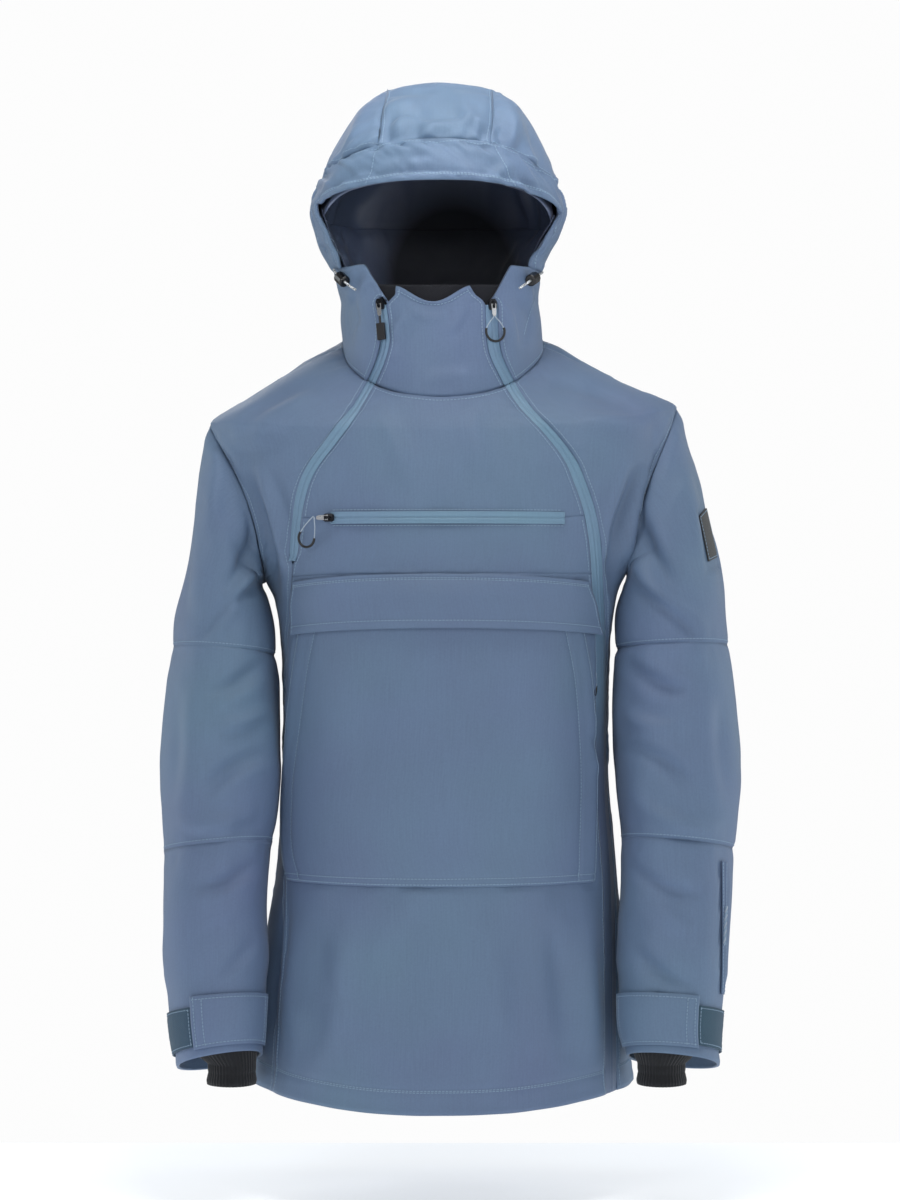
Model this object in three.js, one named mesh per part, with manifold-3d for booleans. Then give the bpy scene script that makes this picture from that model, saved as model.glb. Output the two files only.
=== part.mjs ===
// Hooded insulated anorak pullover, standing open and filled out as if worn, as one group of closed solids.
// Millimetres, +Z up. X runs across the shoulders and the front faces -Y. "left" and "right" are as seen
// from the front. The origin is in the middle of the neck, at the height where the shoulders carry it.
import * as THREE from 'three';
import { mergeVertices } from 'three/addons/utils/BufferGeometryUtils.js';
import loadManifold from 'manifold-3d';

const manifold = await loadManifold();
manifold.setup();

// Cloth and seams
const WALL = 3; // padded shell cloth
const THIN = 2; // tapes, straps and lining
const SEAM_HALF = 0.15; // half of the gap between two pieces that are sewn together
const LAID = 0.8; // how far a piece that lies on a panel is moved out from it
const BESIDE = 0.3; // the gap between hard pieces that touch
const BODY_SQUARENESS = 2.2; // 2 is an ellipse, more is squarer
const HOOD_SQUARENESS = 2.6;
const SLEEVE_SQUARENESS = 2.15;

// Numbers of rows and columns
const LOWER_ROWS = 5;
const WAIST_ROWS = 8;
const ARM_ROWS = 12;
const SHOULDER_ROWS = 4;
const UNDERARM = LOWER_ROWS + WAIST_ROWS;
const TIP = UNDERARM + ARM_ROWS;
const NECK = TIP + SHOULDER_ROWS;
const CHEST_SEAM = UNDERARM + 5;
const SLEEVE_SIDES = 2 * ARM_ROWS;
const ARM_HALF_ANGLE = THREE.MathUtils.degToRad(28);
const SHOULDER_RISE = { left: 5, right: -2 }; // how far the slopes bow above a straight line

const COLOURS = {
  shell: 0x62769a,
  tape: 0x7096b0,
  hook: 0x446478,
  knit: 0x1d1f22,
  satin: 0x343c52,
  metal: 0x2a2c30,
  rubber: 0x17181a,
  cord: 0x8a98ad,
  patch: 0x3c3e40,
};
const FINISH = {
  shell: [0.62, 0],
  tape: [0.55, 0],
  hook: [0.95, 0],
  knit: [0.95, 0],
  satin: [0.35, 0],
  metal: [0.35, 0.9],
  rubber: [0.5, 0],
  cord: [0.8, 0],
  patch: [0.7, 0],
};

// Trunk: half widths to the left and right, depths to the front and back, and where it is widest
const trunkAt = smoothTable(['left', 'right', 'front', 'back', 'centre'], [
  [-766, 199, 198, 164, 120, 14],
  [-700, 192, 194, 163, 119, 13],
  [-600, 178, 187, 158, 117, 10],
  [-525, 167, 182, 154, 116, 8],
  [-450, 162, 175, 151, 116, 5],
  [-380, 161, 173, 148, 117, 3],
  [-300, 162, 174, 147, 118, 1],
  [-262, 168, 179, 146, 119, 0],
  [-235, 179, 188, 144, 120, 0],
  [-209, 194, 203, 141, 121, 0],
  [-191, 203, 213, 139, 121, 0],
  [-161, 217, 228, 134, 120, 0],
  [-130, 229, 240, 127, 119, 0],
  [-110, 235, 245, 122, 118, 0],
  [-83, 238, 247, 114, 115, 0],
  [-57, 228, 243, 106, 109, 0],
]);

// Heights of the named rows of the trunk at its left, right, front and back, and the rows up to the next
const TRUNK_STOPS = [
  { name: 'hem', left: -746, right: -750, front: -766, back: -756, rows: LOWER_ROWS },
  { name: 'pouch foot', left: -540, right: -540, front: -541, back: -541, rows: WAIST_ROWS },
  { name: 'underarm', left: -235, right: -229, front: -231, back: -236, rows: ARM_ROWS },
  { name: 'shoulder tip', left: -75, right: -58, front: -86, back: -84, rows: 0 },
];
const trunkLevels = makeTrunkLevels();

// Neck seam
const NECK_RING = { left: 98, right: 103, front: 98, back: 78, side: 5, dip: -59, rise: 26 };

// Middle lines of the two slanting zips, as heights and distances from the middle
const leftZip = smoothTable(['x'], [
  [-766, -169], [-700, -166], [-540, -157], [-406, -159], [-297, -155], [-257, -151], [-205, -146],
  [-177, -143], [-150, -138], [-127, -128.5], [-99, -108], [-69, -86.5], [-35, -68], [-14, -59],
  [6, -55], [46, -60],
]);
const rightZip = smoothTable(['x'], [
  [-766, 173], [-651, 173], [-573, 172.5], [-530, 171], [-457, 165.5], [-376, 164.5], [-302, 163.5],
  [-265, 161], [-203, 156], [-169, 150], [-140, 140], [-118, 130.5], [-93, 112], [-64, 86],
  [-35, 68.5], [-6, 55.5], [46, 52],
]);
const LEFT_TAPE_HALF = 4.5;
const RIGHT_TAPE_HALF = 6;

// Chest zip, flap and pouch
const CHEST_ZIP = { left: -108, right: 124, z: -176, half: 6 };
const FLAP = { topLeft: -150, topRight: 151, footLeft: -143, footRight: 157, top: -232, foot: -285, dip: 7 };
const FLAP_OUT = 5.8; // how far the flap's free edge stands off, over the pouch
const FLAP_IN = 1.2; // how far its sewn edge does
const FLAP_ROOT = 24; // and the height over which it comes out
const POUCH_TOP = -264;
const POUCH_FOOT = -541;
const POUCH_LAID = 1.4;
const POUCH_ENTRY = 3.8; // how far the pouch's open side edges stand off
const pouchEdge = smoothTable(['left', 'right'], [
  [-541, -152, 153.5], [-505, -156.5, 153.5], [-457, -155.5, 153.5], [-410, -151.5, 152.5],
  [-338, -145, 148.5], [-295, -139, 142.5], [-264, -135, 138],
]);

// Collar front, between the zips
const COLLAR_TOP = { left: -44, right: 30, leftFoot: -47, rightFoot: 43, point: 58, dip: 42 };

// Hood: half widths, and depths to the front and back
const hoodAt = smoothTable(['left', 'right', 'front', 'back'], [
  [36, 97, 97, 93, 80],
  [60, 103, 101, 93, 92],
  [84, 111, 105, 96, 104],
  [104, 121, 113, 102, 112],
  [120, 127, 123, 108, 117],
  [140, 132, 130, 117, 122],
  [160, 128, 124, 127, 124],
  [173, 121, 118, 126, 124],
  [203, 107, 107, 112, 116],
  [226, 94, 96, 96, 103],
  [245, 80, 82, 74, 84],
  [259, 66, 67, 50, 62],
  [267, 50, 51, 30, 42],
  [272, 3, 3, 3, 3],
]);
// Heights of the hood's rows at its left, right, front and back
const HOOD_ROWS = [
  { left: 5, right: 5, front: -54, back: 31 },
  { left: 26, right: 26, front: -8, back: 42 },
  { left: 48, right: 48, front: 38, back: 54 },
  { left: 80, right: 78, front: 80, back: 76 },
  { left: 108, right: 101, front: 108, back: 104 },
  { left: 134, right: 122, front: 160, back: 136 },
  { left: 151, right: 137, front: 181, back: 156 },
  { left: 167, right: 152, front: 203, back: 178 },
  { left: 199, right: 188, front: 227, back: 206 },
  { left: 227, right: 220, front: 246, back: 232 },
  { left: 247, right: 244, front: 259, back: 250 },
  { left: 261, right: 260, front: 267, back: 263 },
  { left: 272, right: 272, front: 272, back: 272 },
];
const COLLAR_LEVEL = 3;
const BRIM_LEVEL = 5;
const BAND_LEVEL = 7;
const CROWN_LEVEL = 11;
const POLE_LEVEL = 12;
const FRONT_RISE = 1.2; // how soon a hood row rises to its front height
const BAND_BACK = THREE.MathUtils.degToRad(8); // the band's seam, forward of the hood's side
const FACE_EDGE = [30, 30, 24].map(THREE.MathUtils.degToRad); // the face edge at rows 3, 4 and 5
const BRIM_START = THREE.MathUtils.degToRad(31);
const CORNER_FAR = THREE.MathUtils.degToRad(39); // from the middle of the front to the collar's raised corner
const CORNER_NEAR = THREE.MathUtils.degToRad(25.5);
const CORNER_DROP = 38;
const STRIP_BACK = 52; // half of the hood's middle piece at the back
const stripFront = smoothTable(['left', 'right'], [
  [154, -69, 48], [194, -62.5, 51], [228, -59, 54], [262, -54, 54],
]);
const CROWN_COLUMNS = 4;
const STRIP_COLUMNS = 8;
const CAP_ROWS = 8;
const CAP_RISE = 5;

// Sleeves: the outer and inner edge of each ring as seen from the front, its middle from front to back,
// half its depth, and how much higher its front is than its middle
const SLEEVE_COLUMNS = ['outX', 'outZ', 'inX', 'inZ', 'y', 'deep', 'lift'];
const LEFT_SLEEVE = [
  [0.35, -246.5, -128, -184.5, -244, -6, 71, 0],
  [0.7, -253.5, -188, -176.5, -262, -11, 70, 2],
  [1, -264, -246, -171.5, -285, -17, 67, 4],
  [1.5, -272.5, -306, -169.5, -314, -24, 64, 6],
  [2, -278, -370, -167, -374, -31, 64, 8],
  [2.5, -281.8, -440, -165, -438, -39, 65, 9],
  [3, -280.5, -513, -169.5, -503, -50, 62, 9],
  [3.5, -279.5, -575, -176.5, -566, -62, 57, 9],
  [4, -275, -640, -175, -632, -74, 54, 10],
  [4.5, -269.5, -694, -176.5, -684, -83, 51, 12],
  [5, -263, -727, -179, -713, -88, 48, 13],
];
const RIGHT_SLEEVE = [
  [0.35, 260, -118, 191, -239, -6, 72, 0],
  [0.7, 271, -160, 185, -256, -11, 71, 2],
  [1, 284, -222, 182, -276, -17, 68, 4],
  [1.5, 293.8, -304, 181.5, -308, -24, 66, 6],
  [2, 299.8, -370, 178, -372, -31, 66, 8],
  [2.5, 302.6, -440, 180, -438, -40, 67, 9],
  [3, 296.8, -510, 184, -500, -51, 64, 9],
  [3.5, 291.5, -578, 184, -566, -63, 59, 9],
  [4, 287, -640, 181, -632, -74, 56, 10],
  [4.5, 281.5, -690, 181, -684, -83, 53, 12],
  [5, 280, -725, 189, -715, -88, 50, 13],
];
const UPPER_SEAM = 1.5;
const ELBOW_SEAM = 3;
const CUFF_END = 5;

// Pieces on the sleeves, in turns round the arm from its outside towards the front, and places along it
const CUFF_TAB = { from: 64, to: 172, top: 4.2, foot: 4.86 };
const HOOK_STRIP = { from: -42, to: 63, top: 4.3, foot: 4.8 };
const SLEEVE_PATCH = { from: 14, to: 42, top: 0.72, foot: 0.96 };
const POCKET_WELT = { from: 36, to: 44, top: 3.12, foot: 4.15, lean: -16 };
// Knit cuffs, which hang nearer the body than the middle of their sleeve
const KNIT_CUFF = { half: 24, deep: 28, inward: 12, foot: -743, neck: -722 };

// Zip sliders: x across the zip, y up along it, z out from the cloth
const SLIDER_OUTLINE = [[-2.5, 5.5], [-4, 3], [-4, -3.5], [-3, -5.5], [3, -5.5], [4, -3.5], [4, 3], [2.5, 5.5]];
const SLIDER_THICK = 3.6;
const BRIDGE_SIDE = [[-3.2, -0.5], [-3.2, 1.4], [-2, 3], [2, 3], [3.2, 1.4], [3.2, -0.5],
  [1.8, -0.5], [1.8, 1.6], [1, 2.1], [-1, 2.1], [-1.8, 1.6], [-1.8, -0.5]];
const BRIDGE_WIDE = 2.4;
const PIN_RISE = 1.05; // the tab's bar, above the slider's face
const TAB_OUTLINE = [[-2.6, 0.5], [-2.2, -10], [-1.2, -12], [1.2, -12], [2.2, -10], [2.6, 0.5]];
const TAB_WINDOW = [[-1.6, -0.5], [1.6, -0.5], [1.6, -3.9], [-1.6, -3.9]];
const TAB_THICK = 1;
const TAB_LONG = 12;
const PULL_LOOP = { wide: 10, long: 11.5, tube: 1.3 };
const CHEST_LOOP = { wide: 9, long: 15, tube: 1.3 };
const POUCH_LOOP = { wide: 3.6, long: 12, tube: 1.2 };
const PULL_END = { cord: 8, radius: 1.2, wide: 9, long: 17, thick: 3 };
const COLLAR_SLIDER_LEVEL = 2.02;
const CHEST_SLIDER = { x: -108.8, z: -176 };
const POUCH_LOOPS = { left: { x: -152.4, z: -349 }, right: { x: 155.2, z: -342 } };
const POUCH_LOOP_LIFT = 1.35;
const SLEEVE_PULLER = { degrees: 36, along: 3.44, lift: 5.45, radius: 2.2, long: 40 };

// Cord locks on the collar, each with the drawstring's exit and free end, by distance from the middle and height
const LOCK = { radius: 6.2, bore: 1.9, long: 14, lift: 7.4 };
const HOOD_CORD = 2.6;
const LEFT_CORD = { exit: [-105.7, 80], lock: [-93, 69], end: [-81.5, 56] };
const RIGHT_CORD = { exit: [102.6, 78], lock: [88, 68], end: [77, 57] };
const CORD_LIFT = { exit: 2.4, end: 4.5 };

// A table whose rows start with a key: values between two rows follow a smooth curve through all of them.
function smoothTable(columns, rows) {
  const last = rows.length - 1;
  return (key) => {
    const at = THREE.MathUtils.clamp(key, rows[0][0], rows[last][0]);
    let i = 0;
    while (i < last - 1 && at > rows[i + 1][0]) i += 1;
    const [a, b] = [rows[i], rows[i + 1]];
    const [before, after] = [rows[Math.max(i - 1, 0)], rows[Math.min(i + 2, last)]];
    const span = b[0] - a[0];
    const t = (at - a[0]) / span;
    const values = {};
    columns.forEach((name, column) => {
      const c = column + 1;
      const startSlope = ((b[c] - before[c]) / (b[0] - before[0])) * span;
      const endSlope = ((after[c] - a[c]) / (after[0] - a[0])) * span;
      values[name] = a[c] * (1 + 2 * t) * (1 - t) ** 2 + startSlope * t * (1 - t) ** 2
        + b[c] * t * t * (3 - 2 * t) - endSlope * t * t * (1 - t);
    });
    return values;
  };
}

function makeTrunkLevels() {
  const levels = [];
  TRUNK_STOPS.slice(0, -1).forEach((stop, i) => {
    const next = TRUNK_STOPS[i + 1];
    for (let row = 0; row < stop.rows; row += 1) {
      const part = row / stop.rows;
      const share = stop.name === 'underarm' ? (1 - Math.cos(Math.PI * part)) / 2 : part;
      levels.push(mixSides(stop, next, share));
    }
  });
  levels.push(TRUNK_STOPS[TRUNK_STOPS.length - 1]);
  return levels;
}

function mixSides(low, high, share) {
  const mixed = {};
  ['left', 'right', 'front', 'back'].forEach((side) => {
    mixed[side] = THREE.MathUtils.lerp(low[side], high[side], share);
  });
  return mixed;
}

function rounded(value, squareness) {
  return Math.sign(value) * Math.abs(value) ** (2 / squareness);
}

// Angles run from the right (0) to the back, the left (half a turn) and the front (minus a quarter turn).
function ringPoint(angle, z, size, squareness) {
  const [across, ahead] = [Math.cos(angle), Math.sin(angle)];
  return new THREE.Vector3(
    rounded(across, squareness) * (across < 0 ? size.left : size.right),
    (size.centre ?? 0) + rounded(ahead, squareness) * (ahead < 0 ? size.front : size.back),
    z,
  );
}

function levelHeight(levels, level, angle, power) {
  const low = THREE.MathUtils.clamp(Math.floor(level), 0, levels.length - 2);
  const sides = mixSides(levels[low], levels[low + 1], level - low);
  const [across, ahead] = [Math.cos(angle), Math.sin(angle)];
  const weight = Math.abs(ahead) ** power;
  const side = THREE.MathUtils.lerp(sides.left, sides.right, (1 + across) / 2);
  return THREE.MathUtils.lerp(side, ahead < 0 ? sides.front : sides.back, weight);
}

function neckPoint(angle) {
  const ahead = Math.sin(angle);
  const z = NECK_RING.side + Math.abs(ahead) * (ahead < 0 ? NECK_RING.dip : NECK_RING.rise);
  return ringPoint(angle, z, NECK_RING, BODY_SQUARENESS);
}

function trunkPoint(angle, z) {
  return ringPoint(angle, z, trunkAt(z), BODY_SQUARENESS);
}

// The trunk by angle and row. Above the shoulder tip it runs in to the neck seam.
function trunk(angle, level) {
  if (level <= TIP) return trunkPoint(angle, levelHeight(trunkLevels, level, angle, 2));
  const share = (level - TIP) / SHOULDER_ROWS;
  const point = trunkPoint(angle, levelHeight(trunkLevels, TIP, angle, 2)).lerp(neckPoint(angle), share);
  const rise = Math.cos(angle) < 0 ? SHOULDER_RISE.left : SHOULDER_RISE.right;
  point.z += rise * Math.sin(Math.PI * share) * Math.cos(angle) ** 2;
  return point;
}

// How far forward or back of the trunk's side the armhole is at a row
function armAngle(level) {
  if (level <= UNDERARM || level >= TIP) return 0;
  return ARM_HALF_ANGLE * Math.sin((Math.PI * (level - UNDERARM)) / ARM_ROWS);
}

// The hood by angle and row. Its lowest rows run from the neck seam to its first level ring.
function hood(angle, level) {
  if (level <= 2) {
    const first = hoodRing(angle, 2);
    return neckPoint(angle).lerp(first, level / 2);
  }
  return hoodRing(angle, level);
}

function hoodRing(angle, level, cut = 1) {
  const z = levelHeight(HOOD_ROWS, level, angle, FRONT_RISE) - cut * collarCut(angle) * collarShare(level);
  return ringPoint(angle, z, hoodAt(z), HOOD_SQUARENESS);
}

function collarShare(level) {
  return Math.max(0, 1 - Math.abs(level - COLLAR_LEVEL));
}

// How far the collar's upper edge has dropped towards the zips
function collarCut(angle) {
  const fromFront = Math.abs(wrap(angle + Math.PI / 2));
  return CORNER_DROP * THREE.MathUtils.clamp((CORNER_FAR - fromFront) / (CORNER_FAR - CORNER_NEAR), 0, 1);
}

function wrap(angle) {
  return Math.atan2(Math.sin(angle), Math.cos(angle));
}

// The angle between two others where a row is as far from the middle as asked, x being a function of z.
function angleWhere(surface, level, xAt, from, to) {
  const miss = (angle) => {
    const p = surface(angle, level);
    return p.x - xAt(p.z);
  };
  let [low, high] = [from, to];
  const rising = miss(high) > miss(low);
  for (let i = 0; i < 32; i += 1) {
    const middle = (low + high) / 2;
    if (miss(middle) > 0 === rising) high = middle;
    else low = middle;
  }
  return (low + high) / 2;
}

function zipEdge(surface, zip, offset) {
  return remember((level) => angleWhere(surface, level, (z) => zip(z).x + offset, -Math.PI, 0));
}

function remember(work) {
  const known = new Map();
  return (key) => {
    if (!known.has(key)) known.set(key, work(key));
    return known.get(key);
  };
}

function normalOf(surface, a, b, stepA = 0.02, stepB = 0.2) {
  const alongA = surface(a + stepA, b).sub(surface(a - stepA, b));
  const alongB = surface(a, b + stepB).sub(surface(a, b - stepB));
  return alongA.cross(alongB).normalize();
}

function material(slot) {
  const [roughness, metalness] = FINISH[slot];
  return new THREE.MeshStandardMaterial({ color: COLOURS[slot], roughness, metalness });
}

function bareGeometry(geometry) {
  geometry.deleteAttribute('normal');
  geometry.deleteAttribute('uv');
  return mergeVertices(geometry, 1e-4);
}

function namedMesh(name, slot, geometry) {
  geometry.computeVertexNormals();
  const mesh = new THREE.Mesh(geometry, material(slot));
  mesh.name = name;
  return mesh;
}

function withoutSlivers(geometry) {
  const merged = mergeVertices(geometry, 1e-3);
  const kept = [];
  for (let i = 0; i < merged.index.count; i += 3) {
    const [a, b, c] = [0, 1, 2].map((corner) => merged.index.getX(i + corner));
    if (a !== b && b !== c && c !== a) kept.push(a, b, c);
  }
  merged.setIndex(kept);
  return merged;
}

// A slab bent onto a surface. place(u, v) gives the surface's own two coordinates, and lift how far the
// inner face is moved out. u, v and outward are right-handed. Its four edges keep back for the seams.
function bentSlab(name, slot, columns, rows, surface, place, options = {}) {
  const { thick = WALL, lift = () => -thick, normal = null, steps = [0.02, 0.2], keep = SEAM_HALF } = options;
  const geometry = bareGeometry(new THREE.BoxGeometry(1, 1, 1, columns, rows, 1));
  const position = geometry.attributes.position;
  const at = (u, v) => surface(...place(u, v));
  for (let i = 0; i < position.count; i += 1) {
    const [u, v, outer] = [position.getX(i) + 0.5, position.getY(i) + 0.5, position.getZ(i) > 0];
    const point = at(u, v);
    const out = normal?.(u, v) ?? normalOf(surface, ...place(u, v), ...steps);
    const back = keepBack(at, u, v, columns, rows).multiplyScalar(keep);
    point.add(back).addScaledVector(out, lift(u, v) + (outer ? thick : 0));
    position.setXYZ(i, point.x, point.y, point.z);
  }
  return namedMesh(name, slot, withoutSlivers(geometry));
}

function keepBack(at, u, v, columns, rows) {
  const back = new THREE.Vector3();
  const here = at(u, v);
  const towards = (u2, v2) => back.add(at(u2, v2).sub(here).normalize());
  const [du, dv, near] = [1 / columns, 1 / rows, 1e-6];
  if (u < near) towards(du, v);
  if (u > 1 - near) towards(1 - du, v);
  if (v < near) towards(u, dv);
  if (v > 1 - near) towards(u, 1 - dv);
  return back;
}

// A tube wall round a closed ring: ring(turn, along) with turn from 0 to 1, along from 0 to 1.
// Turning is counter-clockwise seen from the far end, so that the wall's outside faces out.
function tubeWall(name, slot, sides, rows, ring, options = {}) {
  const { thick = WALL, inset = 0, startOut = null, startKeep = SEAM_HALF } = options;
  const profile = [];
  for (let row = 0; row <= rows; row += 1) profile.push(new THREE.Vector2(2, row / rows));
  for (let row = rows; row >= 0; row -= 1) profile.push(new THREE.Vector2(1, row / rows));
  profile.push(profile[0].clone());
  const geometry = bareGeometry(new THREE.LatheGeometry(profile, sides));
  const position = geometry.attributes.position;
  for (let i = 0; i < position.count; i += 1) {
    const [x, along, z] = [position.getX(i), position.getY(i), position.getZ(i)];
    const turn = (Math.atan2(x, z) / (2 * Math.PI) + 1) % 1;
    const outer = Math.hypot(x, z) > 1.5;
    const point = ring(turn, along);
    const out = (along === 0 && startOut?.(turn)) || ringNormal(ring, turn, along);
    if (along === 0) point.addScaledVector(ring(turn, 1 / rows).sub(point).normalize(), startKeep);
    if (along === 1) point.addScaledVector(ring(turn, 1 - 1 / rows).sub(point).normalize(), SEAM_HALF);
    point.addScaledVector(out, -inset - (outer ? 0 : thick));
    position.setXYZ(i, point.x, point.y, point.z);
  }
  return namedMesh(name, slot, withoutSlivers(geometry));
}

function ringNormal(ring, turn, along) {
  const step = 0.01;
  const alongTurn = ring((turn + step) % 1, along).sub(ring((turn - step + 1) % 1, along));
  const upper = ring(turn, Math.min(along + step, 1));
  return alongTurn.cross(upper.sub(ring(turn, Math.max(along - step, 0)))).normalize();
}

// Sleeve by turn (0 outside and up, a quarter front, a half inside) and place along the arm
function makeSleeve(side, rows) {
  const ringAt = smoothTable(SLEEVE_COLUMNS, rows);
  const firstAlong = rows[0][0];
  const armhole = (turn) => {
    const atFront = turn <= 0.5;
    const level = atFront ? TIP - 2 * turn * ARM_ROWS : UNDERARM + (2 * turn - 1) * ARM_ROWS;
    const off = armAngle(level) * (atFront ? 1 : -1);
    return trunk(side < 0 ? -Math.PI + off : -off, level);
  };
  const free = (turn, along) => {
    const size = ringAt(along);
    const angle = 2 * Math.PI * turn;
    const out = rounded(Math.cos(angle), SLEEVE_SQUARENESS);
    const ahead = rounded(Math.sin(angle), SLEEVE_SQUARENESS);
    return new THREE.Vector3(
      (size.outX + size.inX) / 2 + ((size.outX - size.inX) / 2) * out,
      size.y - size.deep * ahead,
      (size.outZ + size.inZ) / 2 + ((size.outZ - size.inZ) / 2) * out + size.lift * ahead,
    );
  };
  const point = (turn, along) => {
    if (along >= firstAlong) return free(turn, along);
    return armhole(turn).lerp(free(turn, firstAlong), along / firstAlong);
  };
  return { side, point, armhole };
}

const leftSleeve = makeSleeve(-1, LEFT_SLEEVE);
const rightSleeve = makeSleeve(1, RIGHT_SLEEVE);

// Where the sleeve meets the trunk, both walls turn in along one shared direction, evened out along the seam.
const ARMHOLE_WEIGHTS = [1, 2, 3, 2, 1];
function armholeOut(sleeve, turn) {
  const out = new THREE.Vector3();
  ARMHOLE_WEIGHTS.forEach((weight, i) => {
    const near = (turn + (i - 2) / SLEEVE_SIDES + 1) % 1;
    out.addScaledVector(armholeTurn(sleeve, near), weight);
  });
  return out.normalize();
}

function armholeTurn(sleeve, turn) {
  const atFront = turn <= 0.5;
  const level = atFront ? TIP - 2 * turn * ARM_ROWS : UNDERARM + (2 * turn - 1) * ARM_ROWS;
  const off = armAngle(level) * (atFront ? 1 : -1);
  const trunkOut = normalOf(trunk, sleeve.side < 0 ? -Math.PI + off : -off, Math.min(level, TIP - 0.3));
  const step = 0.01;
  const round = sleeve.point((turn + step) % 1, 0).sub(sleeve.point((turn - step + 1) % 1, 0));
  const down = sleeve.point(turn, 0.1).sub(sleeve.point(turn, 0));
  const sleeveOut = round.cross(down).multiplyScalar(sleeve.side).normalize();
  return trunkOut.add(sleeveOut).normalize();
}

function armEdgeOut(sleeve, level, front) {
  if (level < UNDERARM || level > TIP) return null;
  const share = (level - UNDERARM) / ARM_ROWS;
  return armholeOut(sleeve, front ? (1 - share) / 2 : ((1 + share) / 2) % 1);
}

const anorak = new THREE.Group();

// Trunk panels
const leftZipLeft = zipEdge(trunk, leftZip, -LEFT_TAPE_HALF);
const leftZipRight = zipEdge(trunk, leftZip, LEFT_TAPE_HALF);
const leftSeam = zipEdge(trunk, leftZip, 0);
const rightZipLeft = zipEdge(trunk, rightZip, -RIGHT_TAPE_HALF);
const rightZipRight = zipEdge(trunk, rightZip, RIGHT_TAPE_HALF);
const leftZipFootLevel = UNDERARM + 3;

// Below its foot the left zip closes up to a plain seam.
function leftZipEdge(edge) {
  return remember((level) => {
    const open = THREE.MathUtils.clamp(level - leftZipFootLevel + 1, 0, 1);
    return THREE.MathUtils.lerp(leftSeam(level), edge(level), open);
  });
}
const leftPanelEdge = leftZipEdge(leftZipLeft);
const centreLeftEdge = leftZipEdge(leftZipRight);

function trunkPanel(name, columns, fromLevel, toLevel, fromAngle, toAngle, normal) {
  const place = (u, v) => {
    const level = THREE.MathUtils.lerp(fromLevel, toLevel, v);
    return [THREE.MathUtils.lerp(fromAngle(level), toAngle(level), u), level];
  };
  const safeTrunk = (angle, level) => trunk(angle, Math.min(level, NECK));
  const options = normal ? { normal: (u, v) => normal(u, place(u, v)[1]) } : {};
  return bentSlab(name, 'shell', columns, toLevel - fromLevel, safeTrunk, place, options);
}

anorak.add(
  trunkPanel('back_panel', 14, 0, NECK, armAngle, (level) => Math.PI - armAngle(level), (u, level) => {
    if (u < 1e-6) return armEdgeOut(rightSleeve, level, false);
    return u > 1 - 1e-6 ? armEdgeOut(leftSleeve, level, false) : null;
  }),
  trunkPanel('side_front_left', 6, 0, NECK, (level) => armAngle(level) - Math.PI, leftPanelEdge,
    (u, level) => (u < 1e-6 ? armEdgeOut(leftSleeve, level, true) : null)),
  trunkPanel('side_front_right', 5, 0, NECK, rightZipRight, (level) => -armAngle(level),
    (u, level) => (u > 1 - 1e-6 ? armEdgeOut(rightSleeve, level, true) : null)),
  trunkPanel('front_chest', 10, CHEST_SEAM, NECK, centreLeftEdge, rightZipLeft),
  trunkPanel('front_chest_pocket', 12, UNDERARM, CHEST_SEAM, centreLeftEdge, rightZipLeft),
  trunkPanel('front_lower', 16, 0, UNDERARM, leftSeam, rightZipLeft),
);

// Pieces laid on the front, by distance from the middle and height
function frontAngle(x, z) {
  const size = trunkAt(z);
  const across = (Math.abs(x) / (x < 0 ? size.left : size.right)) ** (BODY_SQUARENESS / 2);
  return -Math.acos(Math.sign(x) * Math.min(across, 1));
}
const FRONT_STEPS = [0.01, 1];

// edges(v) gives a piece's left and right distance from the middle and its height; sag lowers its sides
function frontPiece(name, slot, columns, rows, edges, lift, thick, sag = 0) {
  const place = (u, v) => {
    const { left, right, z } = edges(v);
    const angle = THREE.MathUtils.lerp(frontAngle(left, z), frontAngle(right, z), u);
    return [angle, z - sag * (2 * u - 1) ** 2];
  };
  return bentSlab(name, slot, columns, rows, trunkPoint, place, { thick, lift, steps: FRONT_STEPS });
}

function ease(value) {
  return THREE.MathUtils.smoothstep(value, 0, 1);
}

anorak.add(
  frontPiece('pocket_flap', 'shell', 14, 5, (v) => ({
    left: THREE.MathUtils.lerp(FLAP.footLeft, FLAP.topLeft, v),
    right: THREE.MathUtils.lerp(FLAP.footRight, FLAP.topRight, v),
    z: THREE.MathUtils.lerp(FLAP.foot, FLAP.top, v),
  }), (u, v) => FLAP_IN + (FLAP_OUT - FLAP_IN) * ease(((1 - v) * (FLAP.top - FLAP.foot)) / FLAP_ROOT),
  WALL, FLAP.dip),
  frontPiece('front_pouch', 'shell', 16, 10, (v) => {
    const z = THREE.MathUtils.lerp(POUCH_FOOT, POUCH_TOP, v);
    return { ...pouchEdge(z), z };
  }, (u, v) => {
    const side = ease(1 - Math.min(u, 1 - u) * 16) * Math.sin(Math.PI * THREE.MathUtils.clamp(v, 0, 1));
    return POUCH_LAID + (POUCH_ENTRY - POUCH_LAID) * side;
  }, WALL),
  frontPiece('chest_zip', 'tape', 12, 1, (v) => ({
    left: CHEST_ZIP.left, right: CHEST_ZIP.right, z: CHEST_ZIP.z + CHEST_ZIP.half * (2 * v - 1),
  }), () => LAID, THIN),
);

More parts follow.
